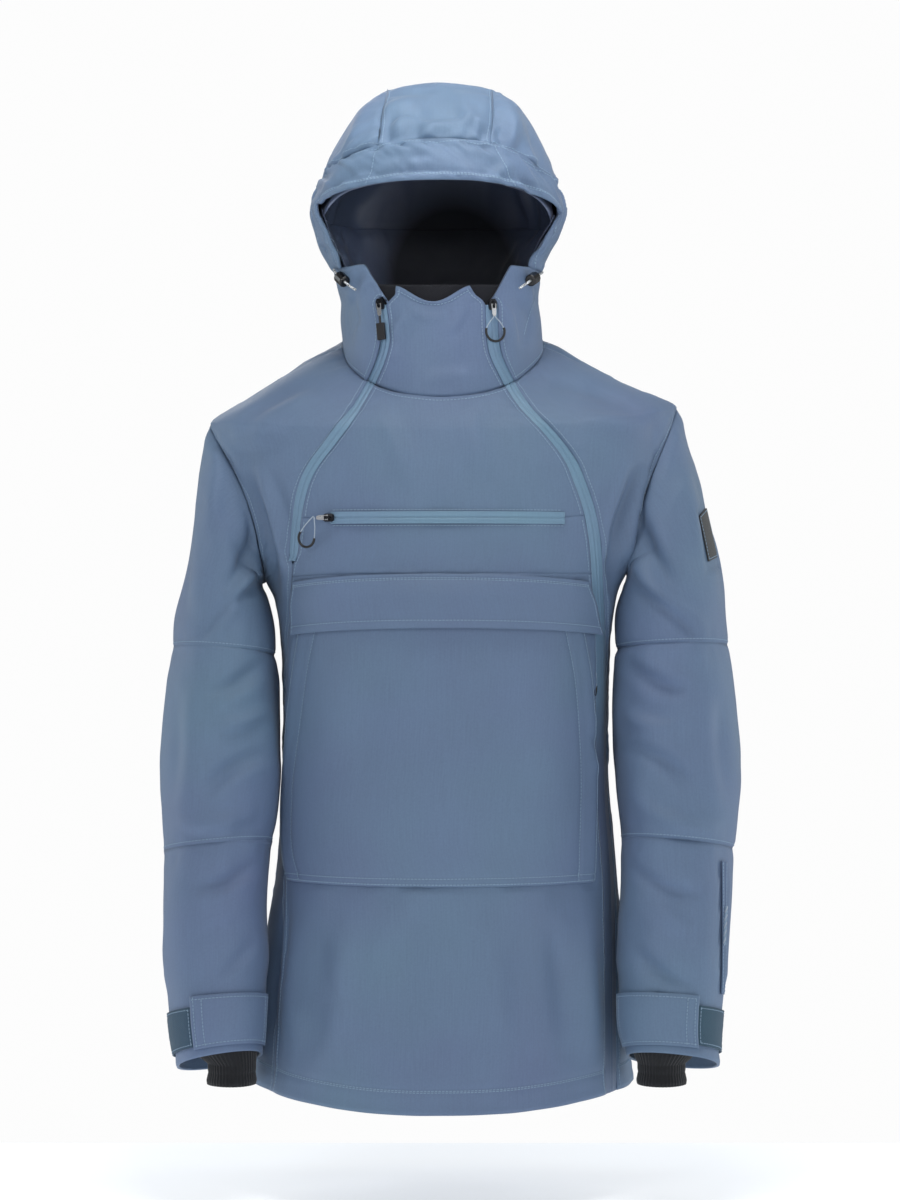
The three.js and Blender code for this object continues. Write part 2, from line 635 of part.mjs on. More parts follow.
// Zip tapes between the panels, on the trunk and up the collar
const TAPE_KEEP = 0.4;
function tapeBetween(name, surface, fromLevel, toLevel, left, right, rowsPerLevel = 1) {
  const place = (u, v) => {
    const level = THREE.MathUtils.lerp(fromLevel, toLevel, v);
    return [THREE.MathUtils.lerp(left(level), right(level), u), level];
  };
  const rows = (toLevel - fromLevel) * rowsPerLevel;
  return bentSlab(name, 'tape', 2, rows, surface, place, { thick: THIN, keep: TAPE_KEEP });
}
const trunkToNeck = (angle, level) => trunk(angle, Math.min(level, NECK));
const collarZip = {
  leftLeft: zipEdge(hood, leftZip, -LEFT_TAPE_HALF),
  leftRight: zipEdge(hood, leftZip, LEFT_TAPE_HALF),
  rightLeft: zipEdge(hood, rightZip, -RIGHT_TAPE_HALF),
  rightRight: zipEdge(hood, rightZip, RIGHT_TAPE_HALF),
};
anorak.add(
  tapeBetween('zip_left', trunkToNeck, leftZipFootLevel, NECK, leftPanelEdge, centreLeftEdge),
  tapeBetween('zip_right', trunkToNeck, 0, NECK, rightZipLeft, rightZipRight),
  tapeBetween('zip_left_collar', hood, 0, 2, collarZip.leftLeft, collarZip.leftRight, 2),
  tapeBetween('zip_right_collar', hood, 0, 2, collarZip.rightLeft, collarZip.rightRight, 2),
);

// Sleeves in three lengths
const ARMHOLE_KEEP = 0.6;
function sleeveLength(name, sleeve, from, to, rows, startOut) {
  // the two sleeves mirror each other, so the left one's ring is run backwards
  const turnOf = (turn) => (sleeve.side > 0 ? turn : (1 - turn) % 1);
  const ring = (turn, along) => sleeve.point(turnOf(turn), THREE.MathUtils.lerp(from, to, along));
  const out = startOut ? (turn) => armholeOut(sleeve, turnOf(turn)) : null;
  const startKeep = out ? ARMHOLE_KEEP : SEAM_HALF;
  return tubeWall(name, 'shell', SLEEVE_SIDES, rows, ring, { startOut: out, startKeep });
}

[['left', leftSleeve], ['right', rightSleeve]].forEach(([label, sleeve]) => {
  anorak.add(
    sleeveLength(`sleeve_upper_${label}`, sleeve, 0, UPPER_SEAM, 5, true),
    sleeveLength(`sleeve_elbow_${label}`, sleeve, UPPER_SEAM, ELBOW_SEAM, 4, false),
    sleeveLength(`sleeve_forearm_${label}`, sleeve, ELBOW_SEAM, CUFF_END, 5, false),
  );
});

// Pieces laid on a sleeve
function sleevePiece(name, slot, sleeve, size, columns, rows, thick, lift = LAID) {
  const surface = (degrees, along) => sleeve.point((degrees / 360 + 1) % 1, along);
  const place = (u, v) => {
    const along = THREE.MathUtils.lerp(size.foot, size.top, v);
    const lean = (size.lean ?? 0) * (1 - v);
    const turn = sleeve.side < 0 ? u : 1 - u;
    return [THREE.MathUtils.lerp(size.from, size.to, turn) + lean, along];
  };
  const steps = [sleeve.side < 0 ? 2 : -2, -0.02];
  return bentSlab(name, slot, columns, rows, surface, place, { thick, lift: () => lift, steps });
}

function knitCuff(name, sleeve) {
  const inside = (turn) => {
    const wall = sleeve.point(turn, 4.6);
    const centre = sleeve.point(0, 4.6).add(sleeve.point(0.5, 4.6)).multiplyScalar(0.5);
    const reach = wall.clone().sub(centre);
    return wall.addScaledVector(reach.normalize(), -(WALL + 4 * BESIDE));
  };
  const centre = sleeve.point(0, CUFF_END).add(sleeve.point(0.5, CUFF_END)).multiplyScalar(0.5);
  const ring = (turn, along) => {
    const own = sleeve.side > 0 ? turn : (1 - turn) % 1;
    const angle = 2 * Math.PI * own;
    const tube = new THREE.Vector3(
      centre.x + sleeve.side * (KNIT_CUFF.half * Math.cos(angle) - KNIT_CUFF.inward),
      centre.y - KNIT_CUFF.deep * Math.sin(angle),
      THREE.MathUtils.lerp(KNIT_CUFF.neck, KNIT_CUFF.foot, THREE.MathUtils.clamp(2 * along - 1, 0, 1)),
    );
    return inside(own).lerp(tube, THREE.MathUtils.clamp(2 * along, 0, 1));
  };
  return tubeWall(name, 'knit', 20, 4, ring, { thick: THIN });
}

anorak.add(
  sleevePiece('cuff_tab_left', 'shell', leftSleeve, CUFF_TAB, 10, 2, WALL),
  sleevePiece('cuff_tab_right', 'shell', rightSleeve, CUFF_TAB, 10, 2, WALL),
  sleevePiece('hook_strip_left', 'hook', leftSleeve, HOOK_STRIP, 10, 2, THIN),
  sleevePiece('hook_strip_right', 'hook', rightSleeve, HOOK_STRIP, 10, 2, THIN),
  sleevePiece('sleeve_patch', 'patch', rightSleeve, SLEEVE_PATCH, 4, 3, 1.2),
  sleevePiece('sleeve_pocket_welt', 'shell', rightSleeve, POCKET_WELT, 1, 6, THIN),
  knitCuff('knit_cuff_left', leftSleeve),
  knitCuff('knit_cuff_right', rightSleeve),
);

// Collar and hood
const clampHood = (angle, level) => hood(angle, THREE.MathUtils.clamp(level, 0, POLE_LEVEL));
const backLeft = remember((level) => angleWhere(hood, level, () => -STRIP_BACK, -1.5 * Math.PI, -Math.PI));
const backRight = remember((level) => angleWhere(hood, level, () => STRIP_BACK, 0, Math.PI / 2));
const frontLeft = remember((level) => (
  angleWhere(hood, level, (z) => stripFront(z).left, -Math.PI, -Math.PI / 2)));
const frontRight = remember((level) => (
  angleWhere(hood, level, (z) => stripFront(z).right, -Math.PI / 2, 0)));

function hoodPanel(name, columns, rows, fromLevel, toLevel, fromAngle, toAngle) {
  const place = (u, v) => {
    const level = THREE.MathUtils.lerp(fromLevel, toLevel, v);
    return [THREE.MathUtils.lerp(fromAngle(level), toAngle(level), u), level];
  };
  return bentSlab(name, 'shell', columns, rows, clampHood, place);
}

// The collar's side, with the same stations as the hood's side behind the band's seam
const COLLAR_FRONT_COLUMNS = 5;
function collarSide(name, back, seam, front) {
  const columns = CROWN_COLUMNS + COLLAR_FRONT_COLUMNS;
  const place = (u, v) => {
    const level = COLLAR_LEVEL * v;
    const fromBack = back(level) < seam;
    const station = (fromBack ? u : 1 - u) * columns;
    const angle = station < CROWN_COLUMNS
      ? THREE.MathUtils.lerp(back(level), seam, station / CROWN_COLUMNS)
      : THREE.MathUtils.lerp(seam, front(level), (station - CROWN_COLUMNS) / COLLAR_FRONT_COLUMNS);
    return [angle, level];
  };
  return bentSlab(name, 'shell', columns, 6, clampHood, place, { keep: 0.5 });
}

function crownPanel(name, back, front, seam) {
  const place = (u, v) => {
    const level = THREE.MathUtils.lerp(BAND_LEVEL, CROWN_LEVEL, v);
    const corners = [back(level), seam, front(level)];
    if (corners[0] > corners[2]) corners.reverse();
    const [first, middle, last] = corners;
    const angle = u < 0.5
      ? THREE.MathUtils.lerp(first, middle, 2 * u) : THREE.MathUtils.lerp(middle, last, 2 * u - 1);
    return [angle, level];
  };
  return bentSlab(name, 'shell', 2 * CROWN_COLUMNS, CROWN_LEVEL - BAND_LEVEL, clampHood, place);
}

anorak.add(
  collarSide('collar_side_left', backLeft, -Math.PI + BAND_BACK, (level) => {
    const top = -Math.PI / 2 - CORNER_NEAR;
    return level <= 2 ? collarZip.leftLeft(level) : THREE.MathUtils.lerp(collarZip.leftLeft(2), top, level - 2);
  }),
  collarSide('collar_side_right', backRight, -BAND_BACK, (level) => {
    const top = -Math.PI / 2 + CORNER_NEAR;
    return level <= 2 ? collarZip.rightRight(level) : THREE.MathUtils.lerp(collarZip.rightRight(2), top, level - 2);
  }),
  hoodPanel('hood_side_left', CROWN_COLUMNS, 4, COLLAR_LEVEL, BAND_LEVEL, backLeft, () => -Math.PI + BAND_BACK),
  hoodPanel('hood_side_right', CROWN_COLUMNS, 4, COLLAR_LEVEL, BAND_LEVEL, () => -BAND_BACK, backRight),
  crownPanel('hood_crown_left', backLeft, frontLeft, -Math.PI + BAND_BACK),
  crownPanel('hood_crown_right', backRight, frontRight, -BAND_BACK),
);

// The band round the face opening: pairs of inner and outer places on the hood, from left to right
function bandStations() {
  const side = FACE_EDGE.map((edge, i) => [edge, COLLAR_LEVEL + i, COLLAR_LEVEL + i]);
  const turnUp = (BRIM_START + FACE_EDGE[2]) / 2;
  side.push([turnUp, BRIM_LEVEL, BRIM_LEVEL + 1]);
  const left = side.map(([edge, inner, outer]) => ({
    inner: [-Math.PI + edge, inner], outer: [-Math.PI + BAND_BACK, outer],
  }));
  const right = side.map(([edge, inner, outer]) => ({
    inner: [-edge, inner], outer: [-BAND_BACK, outer],
  })).reverse();
  const seams = [
    [-Math.PI + BAND_BACK, frontLeft(BAND_LEVEL), CROWN_COLUMNS],
    [frontLeft(BAND_LEVEL), frontRight(BAND_LEVEL), STRIP_COLUMNS],
    [frontRight(BAND_LEVEL), -BAND_BACK, CROWN_COLUMNS],
  ];
  const outers = [seams[0][0]];
  seams.forEach(([from, to, count]) => {
    for (let i = 1; i <= count; i += 1) outers.push(THREE.MathUtils.lerp(from, to, i / count));
  });
  const top = outers.map((outer, i) => ({
    inner: [THREE.MathUtils.lerp(-Math.PI + BRIM_START, -BRIM_START, i / (outers.length - 1)), BRIM_LEVEL],
    outer: [outer, BAND_LEVEL],
  }));
  return [...left, ...top, ...right];
}
const stations = bandStations();
const bandLast = stations.length - 1;
anorak.add(bentSlab('hood_band', 'shell', bandLast, 3, clampHood, (u, v) => {
  const i = Math.min(Math.floor(u * bandLast + 1e-6), bandLast - 1);
  const share = THREE.MathUtils.clamp(u * bandLast - i, 0, 1);
  const mix = (edge, c) => THREE.MathUtils.lerp(stations[i][edge][c], stations[i + 1][edge][c], share);
  return [THREE.MathUtils.lerp(mix('inner', 0), mix('outer', 0), v),
    THREE.MathUtils.lerp(mix('inner', 1), mix('outer', 1), v)];
}));

// The middle piece of the hood, from the band over the crown and down the back to the neck seam
const FRONT_ROWS = CROWN_LEVEL - BAND_LEVEL;
const STRIP_ROWS = FRONT_ROWS + CAP_ROWS + CROWN_LEVEL;
function capPoint(u, w) {
  const frontAt = (s) => hood(THREE.MathUtils.lerp(frontLeft(CROWN_LEVEL), frontRight(CROWN_LEVEL), s), CROWN_LEVEL);
  const backAt = (s) => hood(THREE.MathUtils.lerp(
    backLeft(CROWN_LEVEL) + 2 * Math.PI, backRight(CROWN_LEVEL), s), CROWN_LEVEL);
  const leftAt = (t) => crownEdge(backLeft, frontLeft, -Math.PI + BAND_BACK, t);
  const rightAt = (t) => crownEdge(backRight, frontRight, -BAND_BACK, t);
  const point = frontAt(u).lerp(backAt(u), w).add(leftAt(w).lerp(rightAt(w), u));
  point.sub(frontAt(0).lerp(frontAt(1), u).lerp(backAt(0).lerp(backAt(1), u), w));
  point.z += CAP_RISE * Math.sin(Math.PI * u) * Math.sin(Math.PI * w);
  return point;
}

// The crown panel's upper edge, from front (0) to back (1), with the same stations as the panel
function edgeAngle(back, front, seam, t) {
  const [start, end] = [front(CROWN_LEVEL), back(CROWN_LEVEL)];
  return t < 0.5 ? THREE.MathUtils.lerp(start, seam, 2 * t) : THREE.MathUtils.lerp(seam, end, 2 * t - 1);
}
function crownEdge(back, front, seam, t) {
  return hood(edgeAngle(back, front, seam, t), CROWN_LEVEL);
}

function stripPoint(u, row) {
  if (row <= FRONT_ROWS) {
    const level = BAND_LEVEL + row;
    return clampHood(THREE.MathUtils.lerp(frontLeft(level), frontRight(level), u), level);
  }
  if (row < FRONT_ROWS + CAP_ROWS) return capPoint(u, (row - FRONT_ROWS) / CAP_ROWS);
  const level = CROWN_LEVEL - (row - FRONT_ROWS - CAP_ROWS);
  return clampHood(THREE.MathUtils.lerp(backLeft(level) + 2 * Math.PI, backRight(level), u), level);
}
// The hood's own direction out, where the middle piece follows its rows or meets the crown pieces
function stripOut(u, v) {
  const row = v * STRIP_ROWS;
  const onCap = row > FRONT_ROWS && row < FRONT_ROWS + CAP_ROWS;
  if (onCap && u > 1e-6 && u < 1 - 1e-6) return null;
  if (onCap) {
    const share = (row - FRONT_ROWS) / CAP_ROWS;
    return normalOf(clampHood, u < 0.5
      ? edgeAngle(backLeft, frontLeft, -Math.PI + BAND_BACK, share)
      : edgeAngle(backRight, frontRight, -BAND_BACK, share), CROWN_LEVEL);
  }
  const front = row <= FRONT_ROWS;
  const level = front ? BAND_LEVEL + row : CROWN_LEVEL - (row - FRONT_ROWS - CAP_ROWS);
  const [left, right] = front
    ? [frontLeft(level), frontRight(level)] : [backLeft(level) + 2 * Math.PI, backRight(level)];
  return normalOf(clampHood, THREE.MathUtils.lerp(left, right, u), level);
}
anorak.add(bentSlab('hood_centre', 'shell', STRIP_COLUMNS, STRIP_ROWS,
  (u, row) => stripPoint(u, THREE.MathUtils.clamp(row, 0, STRIP_ROWS)),
  (u, v) => [u, v * STRIP_ROWS], { steps: [0.05, 0.3], normal: stripOut }));

// Collar front: its first rows follow the zips, and its upper edge dips between two points
const COLLAR_LOW_ROWS = 4;
const COLLAR_HIGH_ROWS = 3;
function collarFront(u, row) {
  const level = Math.min((2 * row) / COLLAR_LOW_ROWS, 2);
  const low = hood(THREE.MathUtils.lerp(collarZip.leftRight(level), collarZip.rightLeft(level), u), level);
  if (row <= COLLAR_LOW_ROWS) return low;
  const share = (row - COLLAR_LOW_ROWS) / COLLAR_HIGH_ROWS;
  const dip = Math.sin(Math.PI * THREE.MathUtils.clamp(u, 0, 1)) ** 1.5;
  const topX = THREE.MathUtils.lerp(COLLAR_TOP.left, COLLAR_TOP.right, u);
  const footX = THREE.MathUtils.lerp(COLLAR_TOP.leftFoot, COLLAR_TOP.rightFoot, u);
  const x = THREE.MathUtils.lerp(low.x, THREE.MathUtils.lerp(footX, topX, share), Math.min(1, 2 * share));
  return onHoodFront(x, THREE.MathUtils.lerp(low.z, THREE.MathUtils.lerp(COLLAR_TOP.point, COLLAR_TOP.dip, dip),
    share));
}
function onHoodFront(x, z) {
  const size = hoodAt(z);
  const across = (Math.abs(x) / (x < 0 ? size.left : size.right)) ** (HOOD_SQUARENESS / 2);
  return ringPoint(-Math.acos(Math.sign(x) * across), z, size, HOOD_SQUARENESS);
}
const COLLAR_ROWS = COLLAR_LOW_ROWS + COLLAR_HIGH_ROWS;
anorak.add(bentSlab('collar_front', 'shell', 12, COLLAR_ROWS, collarFront, (u, v) => [u, v * COLLAR_ROWS],
  { steps: [0.01, 0.1] }));

// Linings that show in the face opening
const LINING_GAP = 2.5;
const CORNER_GAP = 1.6;
function liningLift(nearEdge) {
  return -WALL - THIN - CORNER_GAP - LINING_GAP * ease(nearEdge);
}
anorak.add(bentSlab('hood_lining', 'satin', 22, 4, clampHood, (u, v) => {
  const level = THREE.MathUtils.lerp(COLLAR_LEVEL, BRIM_LEVEL, v) - 0.2 * v ** 8;
  const edge = THREE.MathUtils.lerp(FACE_EDGE[0], FACE_EDGE[2], v) - 0.02;
  return [THREE.MathUtils.lerp(-edge, Math.PI + edge, u), level];
}, { thick: THIN, lift: (u) => liningLift(6 * Math.min(u, 1 - u)) }));

function domeShell(name, slot, sides, rows, surface, thick) {
  const profile = [];
  for (let row = rows; row >= 0; row -= 1) profile.push(new THREE.Vector2((1 - row / rows) * 2, row / rows));
  for (let row = 0; row <= rows; row += 1) profile.push(new THREE.Vector2((1 - row / rows) * 3, row / rows));
  const count = rows + 1;
  const geometry = new THREE.LatheGeometry(profile, sides);
  const position = geometry.attributes.position;
  const rings = profile.length;
  for (let i = 0; i < position.count; i += 1) {
    const ring = i % rings;
    const inner = ring < count;
    const row = inner ? rows - ring : ring - count;
    const angle = (2 * Math.PI * (Math.floor(i / rings) % sides)) / sides;
    const point = surface(angle, row / rows, inner ? thick : 0);
    position.setXYZ(i, point.x, point.y, point.z);
  }
  geometry.deleteAttribute('normal');
  geometry.deleteAttribute('uv');
  return namedMesh(name, slot, withoutSlivers(geometry));
}
const domeCentre = new THREE.Vector3(0, 0, 120);
anorak.add(domeShell('hood_lining_crown', 'satin', 24, 6, (angle, share, depth) => {
  const level = THREE.MathUtils.lerp(BRIM_LEVEL + 0.1, POLE_LEVEL, share);
  const point = hood(angle, level);
  if (share === 1) point.set(0, 0, 272);
  const inward = domeCentre.clone().sub(point).normalize();
  const gap = WALL + CORNER_GAP + LINING_GAP * ease(3 * share) + depth;
  return point.addScaledVector(inward, gap * 1.3);
}, THIN));

anorak.add(tubeWall('inner_collar', 'knit', 28, 4, (turn, along) => {
  const angle = -2 * Math.PI * turn;
  const level = THREE.MathUtils.lerp(2.5, 0.5, along);
  return level > 2 ? hoodRing(angle, level, 0) : hood(angle, level);
}, { thick: THIN, inset: WALL + 5 * BESIDE }));

// Hard pieces. A seat is a frame on the cloth: x across, y up, z out.
function seat(point, out, up, lift) {
  const across = up.clone().cross(out).normalize();
  const along = out.clone().cross(across);
  return new THREE.Matrix4().makeBasis(across, along, out).setPosition(point.clone().addScaledVector(out, lift));
}

function moved(matrix, x, y, z, turnZ = 0) {
  return matrix.clone().multiply(new THREE.Matrix4().makeTranslation(x, y, z))
    .multiply(new THREE.Matrix4().makeRotationZ(turnZ));
}

function outline(points, depth, window = null) {
  const shape = new THREE.Shape(points.map(([x, y]) => new THREE.Vector2(x, y)));
  if (window) shape.holes.push(new THREE.Path(window.map(([x, y]) => new THREE.Vector2(x, y))));
  const geometry = new THREE.ExtrudeGeometry(shape, { depth, bevelEnabled: false });
  return geometry.translate(0, 0, -depth / 2);
}

function joined(geometries) {
  const solids = geometries.map((geometry) => {
    const bare = bareGeometry(geometry);
    return new manifold.Manifold(new manifold.Mesh({
      numProp: 3,
      vertProperties: Float32Array.from(bare.attributes.position.array),
      triVerts: Uint32Array.from(bare.index.array),
    }));
  });
  const mesh = solids.reduce((all, one) => all.add(one)).getMesh();
  const geometry = new THREE.BufferGeometry();
  geometry.setAttribute('position', new THREE.BufferAttribute(mesh.vertProperties, 3));
  geometry.setIndex([...mesh.triVerts]);
  return geometry;
}

function placed(name, slot, geometry, matrix) {
  return namedMesh(name, slot, bareGeometry(geometry).applyMatrix4(matrix));
}

function sliderGeometry() {
  const body = outline(SLIDER_OUTLINE, SLIDER_THICK).translate(0, 0, SLIDER_THICK / 2);
  const bridge = outline(BRIDGE_SIDE, BRIDGE_WIDE).applyMatrix4(
    new THREE.Matrix4().makeBasis(
      new THREE.Vector3(0, 1, 0), new THREE.Vector3(0, 0, 1), new THREE.Vector3(1, 0, 0)),
  );
  return joined([body, bridge.translate(0, 0, SLIDER_THICK)]);
}

function loopGeometry(size) {
  const scale = (size.long + size.tube) / (size.wide + size.tube);
  return new THREE.TorusGeometry(size.wide, size.tube, 6, 14).scale(1, scale, 1);
}

// The tab's own frame: its origin on the bar, its tip towards -y
const tabSeat = (slider, turn) => moved(slider, 0, 0, SLIDER_THICK + PIN_RISE, turn);
const tabGeometry = () => outline(TAB_OUTLINE, TAB_THICK, TAB_WINDOW);

function body(name, ...meshes) {
  const group = new THREE.Group();
  group.name = name;
  group.add(...meshes);
  anorak.add(group);
}

function collarSlider(zip) {
  const level = COLLAR_SLIDER_LEVEL;
  const angle = zipEdge(hood, zip, 0)(level);
  const point = hood(angle, level);
  const out = normalOf(hood, angle, level);
  const lower = hood(zipEdge(hood, zip, 0)(level - 1), level - 1);
  return seat(point, out, point.clone().sub(lower), BESIDE);
}
const leftSlider = collarSlider(leftZip);
const rightSlider = collarSlider(rightZip);
anorak.add(
  placed('slider_left', 'metal', sliderGeometry(), leftSlider),
  placed('slider_right', 'metal', sliderGeometry(), rightSlider),
);

const leftPull = tabSeat(leftSlider, 0);
const endTop = -TAB_LONG - BESIDE;
body(
  'pull_left',
  placed('pull_left_tab', 'metal', tabGeometry(), leftPull),
  placed('pull_left_end', 'rubber', joined([
    new THREE.CylinderGeometry(PULL_END.radius, PULL_END.radius, PULL_END.cord, 8)
      .translate(0, endTop - PULL_END.cord / 2, 0),
    new THREE.BoxGeometry(PULL_END.wide, PULL_END.long, PULL_END.thick)
      .translate(0, endTop - PULL_END.cord + 1 - PULL_END.long / 2, 0),
  ]), leftPull),
);

const rightPull = tabSeat(rightSlider, 0);
body(
  'pull_right',
  placed('pull_right_tab', 'metal', tabGeometry(), rightPull),
  placed('pull_right_loop', 'cord', loopGeometry(PULL_LOOP),
    moved(rightPull, 0, endTop - PULL_LOOP.long - PULL_LOOP.tube, 0)),
);

// The chest slider stands at the closed end of its zip, its tab laid over past that end
function frontSeat(x, z, up, lift) {
  const angle = frontAngle(x, z);
  return seat(trunkPoint(angle, z), normalOf(trunkPoint, angle, z, ...FRONT_STEPS), up, lift);
}
const chestSlider = frontSeat(CHEST_SLIDER.x, CHEST_SLIDER.z, new THREE.Vector3(-1, 0, 0), LAID + THIN + BESIDE);
const chestPull = tabSeat(chestSlider, Math.PI);
const chestTabEnd = new THREE.Vector3(0, endTop - CHEST_LOOP.tube - 1.6, 0).applyMatrix4(chestPull);
const CHEST_LOOP_HANG = new THREE.Vector3(0.42, 0, 0.91); // from the loop's foot to its top
function chestLoopSeat() {
  const away = CHEST_LOOP_HANG.clone().multiplyScalar(-CHEST_LOOP.long).add(chestTabEnd);
  const frame = frontSeat(away.x, away.z, CHEST_LOOP_HANG, 0);
  const top = new THREE.Vector3(0, CHEST_LOOP.long, 0).applyMatrix4(frame);
  return frame.premultiply(new THREE.Matrix4().makeTranslation(...chestTabEnd.clone().sub(top).toArray()));
}
anorak.add(placed('slider_chest', 'metal', sliderGeometry(), chestSlider));
body(
  'pull_chest',
  placed('pull_chest_tab', 'metal', tabGeometry(), chestPull),
  placed('pull_chest_loop', 'cord', loopGeometry(CHEST_LOOP), chestLoopSeat()),
);

// Loops of the pouch's side zips, lying out from its side edges
const UP = new THREE.Vector3(0, 0, 1);
const pouchLeft = frontSeat(POUCH_LOOPS.left.x, POUCH_LOOPS.left.z, UP, POUCH_LOOP_LIFT);
const pouchRight = frontSeat(POUCH_LOOPS.right.x, POUCH_LOOPS.right.z, UP, POUCH_LOOP_LIFT);
body('pouch_pull_left', placed('pouch_loop_left', 'cord', loopGeometry(POUCH_LOOP), pouchLeft));
body('pouch_pull_right', placed('pouch_loop_right', 'cord', loopGeometry(POUCH_LOOP), pouchRight));

// The puller of the forearm pocket's zip hangs down the sleeve
function sleeveSeat(degrees, along, lift) {
  const surface = (a, b) => rightSleeve.point(a / 360, b);
  const out = normalOf(surface, degrees, along, -2, -0.02);
  const up = surface(degrees, along - 0.1).sub(surface(degrees, along));
  return seat(surface(degrees, along), out, up, lift);
}
const sleevePull = sleeveSeat(SLEEVE_PULLER.degrees, SLEEVE_PULLER.along, SLEEVE_PULLER.lift);
body('sleeve_pull', placed('sleeve_puller', 'cord', new THREE.CapsuleGeometry(
  SLEEVE_PULLER.radius, SLEEVE_PULLER.long - 2 * SLEEVE_PULLER.radius, 3, 8,
).translate(0, -SLEEVE_PULLER.long / 2, 0), sleevePull));

// Drawstring: a cord from each end of the brim's channel, through a lock, to its free end
function hoodSeat(x, z, lift) {
  const size = hoodAt(z);
  const across = (Math.abs(x) / (x < 0 ? size.left : size.right)) ** (HOOD_SQUARENESS / 2);
  const angle = -Math.acos(Math.sign(x) * across);
  const surface = (a, height) => ringPoint(a, height, hoodAt(height), HOOD_SQUARENESS);
  return surface(angle, z).addScaledVector(normalOf(surface, angle, z, 0.01, 1), lift);
}

function drawstring(label, run) {
  const exit = hoodSeat(...run.exit, CORD_LIFT.exit);
  const middle = hoodSeat(...run.lock, LOCK.lift);
  const end = hoodSeat(...run.end, CORD_LIFT.end);
  const along = end.clone().sub(exit).normalize();
  const inLock = [-0.75, -0.5, 0, 0.5, 0.75].map((part) => middle.clone().addScaledVector(along, part * LOCK.long));
  const path = new THREE.CatmullRomCurve3([exit, ...inLock, end]);
  const section = new THREE.Shape();
  section.absarc(0, 0, HOOD_CORD / 2, 0, 2 * Math.PI);
  const cord = new THREE.ExtrudeGeometry(section, { steps: 12, extrudePath: path, curveSegments: 4 });
  const bore = new THREE.LatheGeometry([
    [LOCK.bore, -LOCK.long / 2], [LOCK.radius - 1, -LOCK.long / 2], [LOCK.radius, 1 - LOCK.long / 2],
    [LOCK.radius, LOCK.long / 2 - 1], [LOCK.radius - 1, LOCK.long / 2], [LOCK.bore, LOCK.long / 2],
    [LOCK.bore, -LOCK.long / 2],
  ].map(([x, y]) => new THREE.Vector2(x, y)), 12);
  const turn = new THREE.Quaternion().setFromUnitVectors(new THREE.Vector3(0, 1, 0), along);
  const lockAt = new THREE.Matrix4().compose(middle, turn, new THREE.Vector3(1, 1, 1));
  anorak.add(
    placed(`cord_lock_${label}`, 'rubber', bore, lockAt),
    namedMesh(`hood_cord_${label}`, 'cord', withoutSlivers(bareGeometry(cord))),
  );
}
drawstring('left', LEFT_CORD);
drawstring('right', RIGHT_CORD);

export default anorak;
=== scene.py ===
"""Looks of a hooded insulated anorak pullover, standing open as if worn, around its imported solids."""

import math

import bmesh
import bpy
import numpy as np
from bpy.props import FloatProperty, FloatVectorProperty, PointerProperty
from mathutils import Matrix, Vector


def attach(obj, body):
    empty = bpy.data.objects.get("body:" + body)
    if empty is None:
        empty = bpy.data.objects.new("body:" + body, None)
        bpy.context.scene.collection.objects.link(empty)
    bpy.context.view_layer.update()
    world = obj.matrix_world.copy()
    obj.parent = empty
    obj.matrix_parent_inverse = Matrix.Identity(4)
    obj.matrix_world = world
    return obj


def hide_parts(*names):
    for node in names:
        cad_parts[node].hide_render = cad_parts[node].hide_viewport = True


bl_info = {
    "name": "Anorak pullover",
    "version": (1, 0, 0),
    "blender": (4, 5, 0),
    "location": "3D View > Sidebar > Anorak",
    "description": "Builds the cloth, zips, linings and trims of a hooded anorak pullover",
    "category": "Object",
}

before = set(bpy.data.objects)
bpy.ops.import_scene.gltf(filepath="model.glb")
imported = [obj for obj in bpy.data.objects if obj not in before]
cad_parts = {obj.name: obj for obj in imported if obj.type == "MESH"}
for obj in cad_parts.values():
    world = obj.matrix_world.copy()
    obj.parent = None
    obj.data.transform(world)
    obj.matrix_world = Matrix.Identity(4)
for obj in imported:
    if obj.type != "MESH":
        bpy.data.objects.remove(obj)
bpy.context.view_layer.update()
MM = 0.001

# Cloth and rows, as in the solids
WALL = 3.0
THIN = 2.0
LAID = 0.8
BACKDROP_SEEN, BACKDROP_LIT = 0.98, 0.25
BODY_SQUARENESS = 2.2
HOOD_SQUARENESS = 2.6
SLEEVE_SQUARENESS = 2.15
LOWER_ROWS, WAIST_ROWS, ARM_ROWS, SHOULDER_ROWS = 5, 8, 12, 4
UNDERARM = LOWER_ROWS + WAIST_ROWS
TIP = UNDERARM + ARM_ROWS
NECK = TIP + SHOULDER_ROWS
CHEST_SEAM = UNDERARM + 5
ARM_HALF_ANGLE = math.radians(28)
SHOULDER_RISE = {"left": 5, "right": -2}

# Height, half widths left and right, depths front and back, and where it is widest
TRUNK_TABLE = [
    [-766, 199, 198, 164, 120, 14],
    [-700, 192, 194, 163, 119, 13],
    [-600, 178, 187, 158, 117, 10],
    [-525, 167, 182, 154, 116, 8],
    [-450, 162, 175, 151, 116, 5],
    [-380, 161, 173, 148, 117, 3],
    [-300, 162, 174, 147, 118, 1],
    [-262, 168, 179, 146, 119, 0],
    [-235, 179, 188, 144, 120, 0],
    [-209, 194, 203, 141, 121, 0],
    [-191, 203, 213, 139, 121, 0],
    [-161, 217, 228, 134, 120, 0],
    [-130, 229, 240, 127, 119, 0],
    [-110, 235, 245, 122, 118, 0],
    [-83, 238, 247, 114, 115, 0],
    [-57, 228, 243, 106, 109, 0],
]
